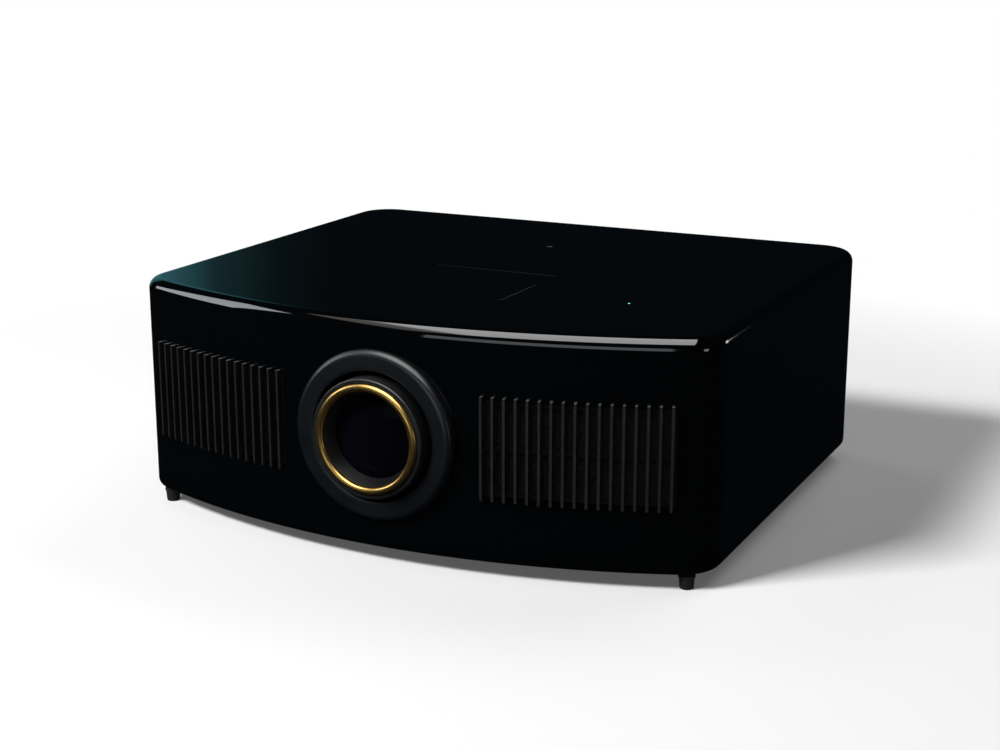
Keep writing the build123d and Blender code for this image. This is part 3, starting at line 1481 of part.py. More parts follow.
# Metal-shelled sockets on the main board
socket_front = panel_y + 0.5
with BuildPart() as metal_sockets:
    # Network socket
    block(
        (lan_x - lan_size[0] / 2, socket_front - 21, board_top),
        (lan_x + lan_size[0] / 2, socket_front, board_top + lan_size[1]),
    )
    block(
        (lan_x - 5.9, socket_front - 12, board_top + 2.4),
        (lan_x + 5.9, socket_front + 1, board_top + 9.2), mode=Mode.SUBTRACT,
    )
    block(
        (lan_x - 3.0, socket_front - 12, board_top + 9.0),
        (lan_x + 3.0, socket_front + 1, board_top + 11.6), mode=Mode.SUBTRACT,
    )
    # Picture sockets with a tongue
    for x in hdmi_spots:
        block(
            (x - hdmi_size[0] / 2, socket_front - 12, board_top),
            (x + hdmi_size[0] / 2, socket_front, board_top + hdmi_size[1]),
        )
        with BuildSketch(elevation(socket_front)) as mouth:
            with Locations((x, board_top + hdmi_size[1] / 2)):
                Rectangle(hdmi_size[0] - 1.2, hdmi_size[1] - 1.2)
            chamfer(mouth.vertices().group_by(Axis.Y)[0], 1.6)
        extrude(amount=8.0, mode=Mode.SUBTRACT)
        block((x - 5.2, socket_front - 9, board_top + 2.4), (x + 5.2, socket_front - 1.5, board_top + 3.4))
    # D-shaped sockets with their flange and two screw posts
    for x, columns, rows in ((d_sub_spots[0], 5, 3), (d_sub_spots[1], 5, 2)):
        block((x - 8, panel_y - 14, board_top), (x + 8, panel_y - panel_thickness - seat_gap, d_sub_z + 4))
        block((x - 8, panel_y - panel_thickness - 1, d_sub_z - 4), (x + 8, panel_y + 0.5, d_sub_z + 4))
        with BuildSketch(elevation(panel_y + 0.9)):
            with Locations((x, d_sub_z)):
                RectangleRounded(*d_sub_flange, 1.5)
        extrude(amount=0.9)
        with BuildSketch(elevation(panel_y + 6.4)):
            with Locations((x, d_sub_z)):
                Trapezoid(d_sub_shell[0] - 0.6, d_sub_shell[1] - 0.4, 80.0, rotation=180)
        extrude(amount=6.0)
        with BuildSketch(elevation(panel_y + 7)):
            with Locations((x, d_sub_z)):
                with GridLocations(2.29, 2.2, columns, rows):
                    Circle(0.5)
        extrude(amount=5.0, mode=Mode.SUBTRACT)
        for side in (-1, 1):
            with BuildSketch(elevation(panel_y + 5.5)):
                with Locations((x + side * 12.5, d_sub_z)):
                    RegularPolygon(2.9, 6)
                    Circle(1.4, mode=Mode.SUBTRACT)
            extrude(amount=5.0)
    # Trigger jack
    block((trigger_x - 5, panel_y - 16, board_top), (trigger_x + 5, panel_y - panel_thickness, rca_z + 5))
    bar_y(trigger_x, panel_y - panel_thickness - 1, panel_y + 3.5, rca_z, trigger_radius)
    bar_y(trigger_x, panel_y - 12, panel_y + 4, rca_z, 1.8, mode=Mode.SUBTRACT)
metal_sockets.part.label = "metal_sockets"
export_step(metal_sockets.part, "parts/metal_sockets.step")

# Round video sockets
with BuildPart() as rca_sockets:
    for x in rca_spots:
        block((x - 7, panel_y - 14, board_top), (x + 7, panel_y - panel_thickness, rca_z + 7))
        bar_y(x, panel_y - panel_thickness - 1, panel_y + 9, rca_z, rca_radius)
        bar_y(x, panel_y + 1, panel_y + 10, rca_z, 3.4, mode=Mode.SUBTRACT)
        bar_y(x, panel_y, panel_y + 8.5, rca_z, 2.4)
        bar_y(x, panel_y - 8, panel_y + 10, rca_z, 1.6, mode=Mode.SUBTRACT)
rca_sockets.part.label = "rca_sockets"
export_step(rca_sockets.part, "parts/rca_sockets.step")

# Leads inside the casing: mains lead, lamp lead and the chip's flat cable
lead_radius = 3.0
supply_end_y = supply_high[1] - 2
lamp_lead_x = -right_x + 60.0
lead_bend = 8.0
with BuildPart() as inner_leads:
    mains_top = body_bottom + inlet_middle - 20
    mains_low = supply_top + 8
    lamp_low = floor_z + 18
    lamp_high = lens_z - 16
    for x, start, end, high, low in (
        (inlet_x, inlet_back, supply_end_y, mains_top, mains_low),
        (lamp_lead_x, ballast_low[1], path_y + lamp_half, lamp_low, lamp_high),
    ):
        middle = (start + end) / 2
        with BuildLine() as route:
            FilletPolyline(
                (x, start, high), (x, middle + lead_bend, high), (x, middle - lead_bend, low), (x, end, low),
                radius=lead_bend,
            )
        with BuildSketch(Plane(origin=(x, start, high), x_dir=(1, 0, 0), z_dir=(0, -1, 0))):
            Circle(lead_radius)
        sweep(path=route.wires()[0])
    flat_start = front_y + chip_board_back + 4
    flat_high = lens_z - chip_board_half_z + 3.5
    flat_low = board_top + 2.5
    with BuildSketch(Plane.YZ.offset(-10)):
        with BuildLine():
            FilletPolyline(
                (flat_start, flat_high), (flat_start + 14, flat_high),
                (flat_start + 20, flat_low), (back_y - 102, flat_low), radius=4.0,
            )
        trace(line_width=0.8)
    extrude(amount=20)
inner_leads.part.label = "inner_leads"
export_step(inner_leads.part, "parts/inner_leads.step")

# Fans behind the grilles, each on a baffle plate that stands on the floor
fan_middle = (window_start + window_end) / 2
fan_front = baffle_setback + baffle_thickness


# A plane across the air path of one side, a distance behind the bowed front, facing inwards.
def air_plane(side, depth):
    angle = side * fan_middle / front_radius
    x, y = front_point(side * fan_middle, -depth)
    return Plane(
        origin=(x, y, lens_z), x_dir=(cos(angle), sin(angle), 0), z_dir=(-sin(angle), cos(angle), 0),
    )


with BuildPart() as air_baffles:
    for side in (-1, 1):
        with BuildSketch(air_plane(side, baffle_setback)):
            with Locations((0, -(floor_z + baffle_height / 2 - lens_z))):
                Rectangle(2 * baffle_half_width, baffle_height)
            Circle(fan_bore, mode=Mode.SUBTRACT)
        extrude(amount=baffle_thickness)
        with BuildSketch(air_plane(side, baffle_setback)):
            with Locations((0, lens_z - floor_z - 1)):
                Rectangle(2 * baffle_half_width, 2)
        extrude(amount=12)
air_baffles.part.label = "air_baffles"
export_step(air_baffles.part, "parts/air_baffles.step")

hub_disc = 2.5
with BuildPart() as fan_frames:
    for side in (-1, 1):
        with BuildSketch(air_plane(side, fan_front)):
            RectangleRounded(fan_size, fan_size, 4.0)
            Circle(fan_bore, mode=Mode.SUBTRACT)
            with GridLocations(fan_size - 9.5, fan_size - 9.5, 2, 2):
                Circle(2.2, mode=Mode.SUBTRACT)
        extrude(amount=fan_depth)
        with BuildSketch(air_plane(side, fan_front + fan_depth - hub_disc)):
            Circle(fan_hub_radius - 1)
            with PolarLocations(0, 4, start_angle=45):
                with Locations((fan_bore / 2, 0)):
                    Rectangle(fan_bore + 2, 3.0)
        extrude(amount=hub_disc)
fan_frames.part.label = "fan_frames"
export_step(fan_frames.part, "parts/fan_frames.step")

blade_pitch = 32.0
blade_chord = 20.0
blade_root = fan_hub_radius - 1.5
blade_tip = fan_bore - 1.5
rotor_length = 20.0
rotor_start = fan_front + fan_depth - hub_disc - running_gap - rotor_length
for side, rotor_name in ((-1, "left_fan_rotor"), (1, "right_fan_rotor")):
    with BuildPart() as rotor:
        with BuildSketch(air_plane(side, rotor_start)):
            Circle(fan_hub_radius)
        extrude(amount=rotor_length)
        hub_plane = air_plane(side, rotor_start + rotor_length / 2)
        for blade in range(fan_blades):
            turn = 2 * pi * blade / fan_blades
            outwards = hub_plane.x_dir * cos(turn) + hub_plane.y_dir * sin(turn)
            sideways = hub_plane.y_dir * cos(turn) - hub_plane.x_dir * sin(turn)
            normal = sideways * cos(radians(blade_pitch)) + hub_plane.z_dir * sin(radians(blade_pitch))
            with BuildSketch(Plane(origin=hub_plane.origin, x_dir=outwards, z_dir=normal)):
                with Locations(((blade_root + blade_tip) / 2, 0)):
                    Rectangle(blade_tip - blade_root, blade_chord)
            extrude(amount=0.7, both=True)
    rotor.part.label = rotor_name
    export_step(rotor.part, f"parts/{rotor_name}.step")
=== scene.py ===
import json
import math

import bpy
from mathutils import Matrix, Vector


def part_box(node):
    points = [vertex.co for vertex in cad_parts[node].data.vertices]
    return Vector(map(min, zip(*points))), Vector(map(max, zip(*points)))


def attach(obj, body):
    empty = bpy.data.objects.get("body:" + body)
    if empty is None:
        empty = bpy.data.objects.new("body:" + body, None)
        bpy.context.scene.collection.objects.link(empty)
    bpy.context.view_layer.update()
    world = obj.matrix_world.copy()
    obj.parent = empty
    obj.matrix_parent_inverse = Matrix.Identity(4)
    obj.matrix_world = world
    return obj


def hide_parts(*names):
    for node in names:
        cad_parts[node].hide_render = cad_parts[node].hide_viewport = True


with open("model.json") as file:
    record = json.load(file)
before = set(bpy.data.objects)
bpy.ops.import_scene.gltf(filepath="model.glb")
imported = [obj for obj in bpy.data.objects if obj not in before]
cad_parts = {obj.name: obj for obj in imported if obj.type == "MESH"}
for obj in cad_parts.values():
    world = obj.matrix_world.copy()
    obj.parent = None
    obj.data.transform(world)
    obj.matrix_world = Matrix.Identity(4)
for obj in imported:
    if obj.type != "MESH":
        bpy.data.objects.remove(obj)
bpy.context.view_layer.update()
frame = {"nodes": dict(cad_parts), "record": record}
cadNodes = frame["nodes"]
bodies = frame["record"]["behaviour"]["bodies"]
bodyOf = {node: body for body, members in bodies.items() for node in members}
mm = 0.001
print("stage: frame loaded,", len(cadNodes), "nodes")


# Small helpers for selecting and finishing

def deselectAll():
    if bpy.context.object and bpy.context.object.mode != "OBJECT":
        bpy.ops.object.mode_set(mode="OBJECT")
    bpy.ops.object.select_all(action="DESELECT")


def selectOnly(piece):
    deselectAll()
    piece.select_set(True)
    bpy.context.view_layer.objects.active = piece


def editMode(piece):
    selectOnly(piece)
    bpy.ops.object.mode_set(mode="EDIT")
    bpy.ops.mesh.select_mode(type="VERT")


def objectMode():
    bpy.ops.object.mode_set(mode="OBJECT")


def settle(piece):
    selectOnly(piece)        # the place goes into the mesh, the object stays at the origin
    bpy.ops.object.transform_apply(location=True, rotation=True, scale=True)


def applyModifier(piece, kind, **settings):
    selectOnly(piece)
    modifier = piece.modifiers.new(kind.lower(), kind)
    for name, value in settings.items():
        setattr(modifier, name, value)
    bpy.ops.object.modifier_apply(modifier=modifier.name)


# Flat faces keep their own normal, so that they mirror the room as flat ones do
def softenEdges(piece, width):
    sharpAngle = math.radians(32.0)
    applyModifier(
        piece, "BEVEL", width=width, segments=2, limit_method="ANGLE", angle_limit=sharpAngle,
        use_clamp_overlap=True,
    )
    selectOnly(piece)
    bpy.ops.object.shade_smooth_by_angle(angle=sharpAngle)
    applyModifier(piece, "WEIGHTED_NORMAL", mode="FACE_AREA", weight=50, keep_sharp=True)


def finishPiece(piece, look, slot, body, *replaced):
    piece.data.materials.clear()
    piece.data.materials.append(look)
    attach(piece, body)
    if replaced:
        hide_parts(*replaced)
    return piece


# An outline with some corners rounded: each entry is (radius, along, rounding)
def roundedProfile(corners, steps):
    points = []
    count = len(corners)
    for index, (x, y, rounding) in enumerate(corners):
        here = Vector((x, y))
        if rounding <= 0:
            points.append(here)
            continue
        before = Vector(corners[index - 1][:2]) - here
        after = Vector(corners[(index + 1) % count][:2]) - here
        angle = before.angle(after)
        reach = rounding / math.tan(angle / 2)
        start = here + before.normalized() * reach
        end = here + after.normalized() * reach
        inward = (before.normalized() + after.normalized()).normalized()
        centre = here + inward * rounding / math.sin(angle / 2)
        first, last = start - centre, end - centre
        turn = first.angle(last)
        for step in range(steps + 1):
            share = step / steps
            blend = first * math.sin((1 - share) * turn) + last * math.sin(share * turn)
            points.append(centre + blend / math.sin(turn))
    return points


def profileInMm(corners, steps):
    return roundedProfile([tuple(value * mm for value in corner) for corner in corners], steps)


# A small plane is merged to one point, and the point is extruded from place to place
def pointChain(name, places):
    deselectAll()
    bpy.ops.mesh.primitive_plane_add(size=mm, location=places[0])
    piece = bpy.context.object
    piece.name = name
    editMode(piece)
    bpy.ops.mesh.select_all(action="SELECT")
    bpy.ops.mesh.merge(type="CENTER")
    for before, after in zip(places, places[1:]):
        bpy.ops.mesh.extrude_vertices_move(TRANSFORM_OT_translate={"value": after - before})
    bpy.ops.mesh.select_all(action="SELECT")
    return piece


# A ring or disc about an axis: the chain of points is spun
def turnedPiece(name, profile, origin, along, outwards, steps, closed=True):
    mergeWithin = 0.005 * mm
    origin, along, outwards = Vector(origin), Vector(along), Vector(outwards)
    places = [origin + outwards * radius + along * distance for radius, distance in profile]
    if closed:
        places.append(places[0])
    piece = pointChain(name, places)
    bpy.ops.mesh.spin(steps=steps, angle=math.tau, center=origin, axis=along, use_auto_merge=True)
    bpy.ops.mesh.select_all(action="SELECT")
    bpy.ops.mesh.remove_doubles(threshold=mergeWithin)
    bpy.ops.mesh.normals_make_consistent(inside=False)
    objectMode()
    settle(piece)
    return piece


# A copy of a CAD node with merged faces, softened edges and its own finish
def dressedCopy(name, node, look, slot, width):
    mergeWithin, flatWithin = 0.004 * mm, math.radians(0.4)
    piece = bpy.data.objects.new(name, cadNodes[node].data.copy())
    bpy.context.scene.collection.objects.link(piece)
    editMode(piece)
    bpy.ops.mesh.select_all(action="SELECT")
    bpy.ops.mesh.customdata_custom_splitnormals_clear()
    bpy.ops.mesh.remove_doubles(threshold=mergeWithin)
    bpy.ops.mesh.dissolve_limited(angle_limit=flatWithin)
    objectMode()
    softenEdges(piece, width)
    return finishPiece(piece, look, slot, bodyOf[node], node)


# Shader helpers

def addNode(tree, kind, inputs=None, **settings):
    node = tree.nodes.new(kind)
    for name, value in settings.items():
        setattr(node, name, value)
    for name, value in (inputs or {}).items():
        if isinstance(value, bpy.types.NodeSocket):
            tree.links.new(value, node.inputs[name])
        else:
            node.inputs[name].default_value = value
    return node


def startMaterial(name, **plain):
    material = bpy.data.materials.new(name)
    material.use_nodes = True
    tree = material.node_tree
    shader = tree.nodes["Principled BSDF"]
    for socket, value in plain.items():
        shader.inputs[socket.replace("_", " ")].default_value = value
    return material, tree, shader


def connect(tree, shader, **sockets):
    for name, value in sockets.items():
        tree.links.new(value, shader.inputs[name.replace("_", " ")])


def objectPlace(tree):
    return addNode(tree, "ShaderNodeTexCoord").outputs["Object"]


def facingParts(tree):
    normal = addNode(tree, "ShaderNodeNewGeometry").outputs["Normal"]
    return addNode(tree, "ShaderNodeSeparateXYZ", {"Vector": normal}).outputs


def noise(tree, vector, scale, detail, **more):
    inputs = {"Vector": vector, "Scale": scale, "Detail": detail, **more}
    return addNode(tree, "ShaderNodeTexNoise", inputs).outputs


def calculate(tree, operation, *values):
    return addNode(tree, "ShaderNodeMath", dict(enumerate(values)), operation=operation).outputs[0]


def mixColour(tree, share, first, second):
    mix = addNode(tree, "ShaderNodeMix", data_type="RGBA")
    tree.links.new(share, mix.inputs[0])
    for socket, value in ((6, first), (7, second)):        # the colour sockets A and B
        if isinstance(value, bpy.types.NodeSocket):
            tree.links.new(value, mix.inputs[socket])
        else:
            mix.inputs[socket].default_value = (*value, 1.0)
    return mix.outputs[2]


def mapValue(tree, value, low, high, newLow, newHigh):
    node = addNode(tree, "ShaderNodeMapRange", {
        "Value": value, "From Min": low, "From Max": high, "To Min": newLow, "To Max": newHigh,
    })
    return node.outputs["Result"]


def addBump(tree, height, strength, distance):
    node = addNode(tree, "ShaderNodeBump", {"Height": height, "Strength": strength, "Distance": distance})
    return node.outputs["Normal"]


def fillRamp(ramp, stops):
    while len(ramp.color_ramp.elements) < len(stops):
        ramp.color_ramp.elements.new(1.0)
    for element, (position, colour) in zip(ramp.color_ramp.elements, stops):
        element.position = position
        element.color = (*colour, 1.0)


def shadeOf(colour, times, plus):
    return tuple(min(1.0, channel * times + plus) for channel in colour)


# Shared effects: each is one group with its own inputs

def makeGroup(name, inputs, outputs):
    tree = bpy.data.node_groups.new(name, "ShaderNodeTree")
    for socket, value in inputs.items():
        made = tree.interface.new_socket(name=socket, in_out="INPUT", socket_type="NodeSocketFloat")
        made.default_value = value
    for socket in outputs:
        tree.interface.new_socket(name=socket, in_out="OUTPUT", socket_type="NodeSocketFloat")
    return tree, tree.nodes.new("NodeGroupInput").outputs, tree.nodes.new("NodeGroupOutput").inputs


def useGroup(tree, group, **values):
    node = tree.nodes.new("ShaderNodeGroup")
    node.node_tree = group
    for name, value in values.items():
        node.inputs[name.replace("_", " ")].default_value = value
    return node.outputs


def buildGrainGroup():
    look = {"detail": 3.0, "fineness": 0.6, "toneDetail": 2.0}
    tree, given, made = makeGroup("mouldGrain", {"Scale": 900.0, "Tone Scale": 14.0}, ["Height", "Tone"])
    place = objectPlace(tree)
    grain = noise(tree, place, given["Scale"], look["detail"], Roughness=look["fineness"])
    tone = noise(tree, place, given["Tone Scale"], look["toneDetail"])
    tree.links.new(grain["Fac"], made["Height"])
    tree.links.new(tone["Fac"], made["Tone"])
    return tree


def buildDustGroup():
    look = {
        "upwardFrom": 0.2, "speckDetail": 4.0, "fineness": 0.7, "speckLow": 0.48, "speckHigh": 0.75,
        "driftScale": 9.0, "driftDetail": 2.0,
    }
    tree, given, made = makeGroup("settledDust", {"Scale": 260.0, "Amount": 0.15}, ["Mask"])
    place = objectPlace(tree)
    upward = mapValue(tree, facingParts(tree)["Z"], look["upwardFrom"], 1.0, 0.0, 1.0)
    specks = noise(tree, place, given["Scale"], look["speckDetail"], Roughness=look["fineness"])
    drift = noise(tree, place, look["driftScale"], look["driftDetail"])
    sharp = mapValue(tree, specks["Fac"], look["speckLow"], look["speckHigh"], 0.0, 1.0)
    cover = calculate(tree, "MULTIPLY", sharp, drift["Fac"])
    lying = calculate(tree, "MULTIPLY", cover, upward)
    tree.links.new(calculate(tree, "MULTIPLY", lying, given["Amount"]), made["Mask"])
    return tree


def buildRubGroup():
    look = {
        "flat": 0.5, "edgeFrom": 0.505, "patchScale": 120.0, "patchDetail": 4.0, "patchLow": 0.35,
        "patchHigh": 0.65, "least": 0.2,
    }
    tree, given, made = makeGroup("edgeRub", {"Sharpness": 0.06, "Amount": 0.5}, ["Mask"])
    raised = addNode(tree, "ShaderNodeNewGeometry").outputs["Pointiness"]
    edgeTo = calculate(tree, "ADD", look["flat"], given["Sharpness"])
    edge = mapValue(tree, raised, look["edgeFrom"], edgeTo, 0.0, 1.0)
    patch = noise(tree, objectPlace(tree), look["patchScale"], look["patchDetail"])
    broken = mapValue(tree, patch["Fac"], look["patchLow"], look["patchHigh"], look["least"], 1.0)
    both = calculate(tree, "MULTIPLY", edge, broken)
    tree.links.new(calculate(tree, "MULTIPLY", both, given["Amount"]), made["Mask"])
    return tree


def buildBrushGroup():
    look = {"detail": 2.0}
    tree, given, made = makeGroup("brushedLines", {"Across": 1500.0, "Along": 30.0}, ["Height"])
    scale = addNode(tree, "ShaderNodeCombineXYZ", {
        "X": given["Along"], "Y": given["Across"], "Z": given["Across"],
    })
    stretched = addNode(tree, "ShaderNodeVectorMath", {
        0: objectPlace(tree), 1: scale.outputs[0],
    }, operation="MULTIPLY")
    tree.links.new(noise(tree, stretched.outputs[0], 1.0, look["detail"])["Fac"], made["Height"])
    return tree


def buildScuffGroup():
    look = {
        "warpScale": 3.0, "detail": 1.0, "thinLow": 0.68, "thinHigh": 0.76,
        "directions": ((0.4, 40.0), (-0.9, 55.0)),        # turn in radians, and stretch
    }
    tree, given, made = makeGroup("hairlineScuffs", {"Scale": 22.0}, ["Lines"])
    place = objectPlace(tree)
    warp = noise(tree, place, look["warpScale"], look["detail"])
    shifted = addNode(tree, "ShaderNodeVectorMath", {0: place, 1: warp["Color"]}, operation="ADD")
    scuffs = []
    for turn, stretch in look["directions"]:
        turned = addNode(tree, "ShaderNodeMapping", {
            "Vector": shifted.outputs[0], "Rotation": (0.0, 0.0, turn), "Scale": (1.0, stretch, 1.0),
        })
        lines = noise(tree, turned.outputs[0], given["Scale"], look["detail"])
        scuffs.append(mapValue(tree, lines["Fac"], look["thinLow"], look["thinHigh"], 0.0, 1.0))
    tree.links.new(calculate(tree, "MAXIMUM", *scuffs), made["Lines"])
    return tree


grainGroup = buildGrainGroup()
dustGroup = buildDustGroup()
rubGroup = buildRubGroup()
brushGroup = buildBrushGroup()
scuffGroup = buildScuffGroup()
print("stage: shared effects built")


# Finishes: "spread" is how far the roughness varies over the surface

toneLow, toneHigh = 0.3, 0.7        # the part of the noise's range that nearly all of it lies in


def roughByTone(tree, grain, low, high):
    return mapValue(tree, grain["Tone"], toneLow, toneHigh, low, high)


def glossBlack():
    look = {
        "colour": (0.0007, 0.0009, 0.0011), "dustColour": (0.02, 0.02, 0.021), "rough": 0.035,
        "spread": 0.015, "scuffRough": 0.012, "ior": 1.5,
    }
    material, tree, shader = startMaterial("glossBlack", IOR=look["ior"])
    grain = useGroup(tree, grainGroup, Scale=700.0, Tone_Scale=6.0)
    dust = useGroup(tree, dustGroup, Scale=1200.0, Amount=0.02)
    scuff = useGroup(tree, scuffGroup, Scale=16.0)
    rough = roughByTone(tree, grain, look["rough"], look["rough"] + look["spread"])
    connect(
        tree, shader,
        Base_Color=mixColour(tree, dust["Mask"], look["colour"], look["dustColour"]),
        Roughness=calculate(tree, "MULTIPLY_ADD", scuff["Lines"], look["scuffRough"], rough),
    )
    return material


def satinPlastic(name, colour, rough, grainScale=1500.0, depth=0.02 * mm, rub=0.35, shine=0.5):
    look = {
        "worn": (2.4, 0.012), "dusty": (0.6, 0.09), "smoother": 0.04, "rougher": 0.05, "bump": 0.5,
    }
    material, tree, shader = startMaterial(name, Specular_IOR_Level=shine)
    grain = useGroup(tree, grainGroup, Scale=grainScale, Tone_Scale=30.0)
    dust = useGroup(tree, dustGroup, Scale=700.0, Amount=0.12)
    edges = useGroup(tree, rubGroup, Sharpness=0.08, Amount=rub)
    rubbed = mixColour(tree, edges["Mask"], colour, shadeOf(colour, *look["worn"]))
    connect(
        tree, shader,
        Base_Color=mixColour(tree, dust["Mask"], rubbed, shadeOf(colour, *look["dusty"])),
        Roughness=roughByTone(tree, grain, rough - look["smoother"], rough + look["rougher"]),
        Normal=addBump(tree, grain["Height"], look["bump"], depth),
    )
    return material


def metalLook(name, colour, rough, brushed=True, depth=0.006 * mm, metal=1.0):
    look = {"worn": (1.25, 0.02), "smoother": 0.05, "rougher": 0.07, "bump": 0.4}
    material, tree, shader = startMaterial(name, Metallic=metal)
    grain = useGroup(tree, grainGroup, Scale=1100.0, Tone_Scale=26.0)
    edges = useGroup(tree, rubGroup, Sharpness=0.07, Amount=0.6)
    height = grain["Height"]
    if brushed:
        height = useGroup(tree, brushGroup, Across=1600.0, Along=40.0)["Height"]
    connect(
        tree, shader,
        Base_Color=mixColour(tree, edges["Mask"], colour, shadeOf(colour, *look["worn"])),
        Roughness=roughByTone(tree, grain, rough - look["smoother"], rough + look["rougher"]),
        Normal=addBump(tree, height, look["bump"], depth),
    )
    return material


def goldTrim():
    look = {"colour": (0.56, 0.36, 0.11), "deep": (0.49, 0.30, 0.085), "rough": 0.29, "spread": 0.04}
    material, tree, shader = startMaterial("goldTrim", Metallic=1.0)
    grain = useGroup(tree, grainGroup, Scale=900.0, Tone_Scale=36.0)
    connect(
        tree, shader,
        Base_Color=mixColour(tree, grain["Tone"], look["colour"], look["deep"]),
        Roughness=roughByTone(tree, grain, look["rough"], look["rough"] + look["spread"]),
    )
    return material


def opticGlass():
    look = {
        "colour": (0.86, 0.9, 0.93), "dustColour": (0.6, 0.6, 0.6), "rough": 0.02, "spread": 0.02,
        "ior": 1.52,
    }
    material, tree, shader = startMaterial(
        "opticGlass", Transmission_Weight=1.0, IOR=look["ior"], Metallic=0.0,
    )
    dust = useGroup(tree, dustGroup, Scale=500.0, Amount=0.06)
    grain = useGroup(tree, grainGroup, Scale=300.0, Tone_Scale=18.0)
    connect(
        tree, shader,
        Base_Color=mixColour(tree, dust["Mask"], look["colour"], look["dustColour"]),
        Roughness=roughByTone(tree, grain, look["rough"], look["rough"] + look["spread"]),
    )
    return material


def coatedLens():
    look = {
        "colour": (0.0008, 0.0009, 0.0012), "paintedSheen": (0.004, 0.003, 0.009), "rough": 0.03,
        "spread": 0.02, "shine": 0.01, "ior": 1.5, "grazing": 0.35,
    }
    material, tree, shader = startMaterial(
        "coatedLens", Specular_IOR_Level=look["shine"], IOR=look["ior"],
    )
    grain = useGroup(tree, grainGroup, Scale=300.0, Tone_Scale=12.0)
    # Towards grazing view the base colour turns purple: a painted sheen of the lens coating
    grazing = addNode(tree, "ShaderNodeLayerWeight", {"Blend": look["grazing"]})
    connect(
        tree, shader,
        Base_Color=mixColour(tree, grazing.outputs["Facing"], look["colour"], look["paintedSheen"]),
        Roughness=roughByTone(tree, grain, look["rough"], look["rough"] + look["spread"]),
    )
    return material


def rubberLook():
    look = {
        "colour": (0.012, 0.012, 0.013), "dustColour": (0.09, 0.088, 0.085), "rough": 0.55, "spread": 0.2,
        "shine": 0.35, "bump": 0.6, "depth": 0.04 * mm,
    }
    material, tree, shader = startMaterial("footRubber", Specular_IOR_Level=look["shine"])
    grain = useGroup(tree, grainGroup, Scale=2600.0, Tone_Scale=60.0)
    dust = useGroup(tree, dustGroup, Scale=900.0, Amount=0.3)
    connect(
        tree, shader,
        Base_Color=mixColour(tree, dust["Mask"], look["colour"], look["dustColour"]),
        Roughness=roughByTone(tree, grain, look["rough"], look["rough"] + look["spread"]),
        Normal=addBump(tree, grain["Height"], look["bump"], look["depth"]),
    )
    return material


def boardLook():
    look = {
        "mask": (0.006, 0.06, 0.03), "track": (0.02, 0.13, 0.06), "part": (0.012, 0.012, 0.013),
        "trackScale": 90.0, "trackWidth": 0.035, "partFrom": 0.5, "partTo": 0.8, "rough": 0.3,
        "spread": 0.2, "coat": 0.3, "coatRough": 0.2, "bump": 0.3, "depth": 0.05 * mm,
    }
    material, tree, shader = startMaterial(
        "circuitBoard", Coat_Weight=look["coat"], Coat_Roughness=look["coatRough"],
    )
    tracks = addNode(tree, "ShaderNodeTexBrick", {
        "Vector": objectPlace(tree), "Scale": look["trackScale"], "Mortar Size": look["trackWidth"],
    }).outputs["Fac"]
    grain = useGroup(tree, grainGroup, Scale=900.0, Tone_Scale=40.0)
    sideways = calculate(tree, "ABSOLUTE", facingParts(tree)["X"])
    onPart = mapValue(tree, sideways, look["partFrom"], look["partTo"], 0.0, 1.0)
    printed = mixColour(tree, tracks, look["mask"], look["track"])
    connect(
        tree, shader,
        Base_Color=mixColour(tree, onPart, printed, look["part"]),
        Roughness=roughByTone(tree, grain, look["rough"], look["rough"] + look["spread"]),
        Normal=addBump(tree, tracks, look["bump"], look["depth"]),
    )
    return material


def foamLook():
    look = {
        "hole": (0.0006, 0.0006, 0.0007), "wall": (0.005, 0.005, 0.0055), "cellScale": 900.0,
        "cellReach": 0.8, "rough": 0.8, "roughest": 1.0, "shine": 0.2, "bump": 0.9, "depth": 0.6 * mm,
    }
    material, tree, shader = startMaterial("filterFoam", Specular_IOR_Level=look["shine"])
    cells = addNode(tree, "ShaderNodeTexVoronoi", {
        "Vector": objectPlace(tree), "Scale": look["cellScale"],
    }).outputs["Distance"]
    # The cell hollows are coloured darker than the walls: painted shade in the pores
    connect(
        tree, shader,
        Base_Color=mixColour(tree, cells, look["hole"], look["wall"]),
        Roughness=mapValue(tree, cells, 0.0, look["cellReach"], look["rough"], look["roughest"]),
        Normal=addBump(tree, cells, look["bump"], look["depth"]),
    )
    return material


def lightPipe():
    look = {
        "colour": (0.10, 0.55, 0.36), "glow": (0.12, 0.9, 0.55), "strength": 2.2, "coat": 0.5,
        "rough": 0.15, "spread": 0.15,
    }
    material, tree, shader = startMaterial(
        "statusGreen", Emission_Strength=look["strength"], Coat_Weight=look["coat"],
    )
    grain = useGroup(tree, grainGroup, Scale=2000.0, Tone_Scale=500.0)
    colour = mixColour(tree, grain["Tone"], look["colour"], look["glow"])
    connect(
        tree, shader,
        Base_Color=colour,
        Emission_Color=colour,
        Roughness=roughByTone(tree, grain, look["rough"], look["rough"] + look["spread"]),
    )
    return material


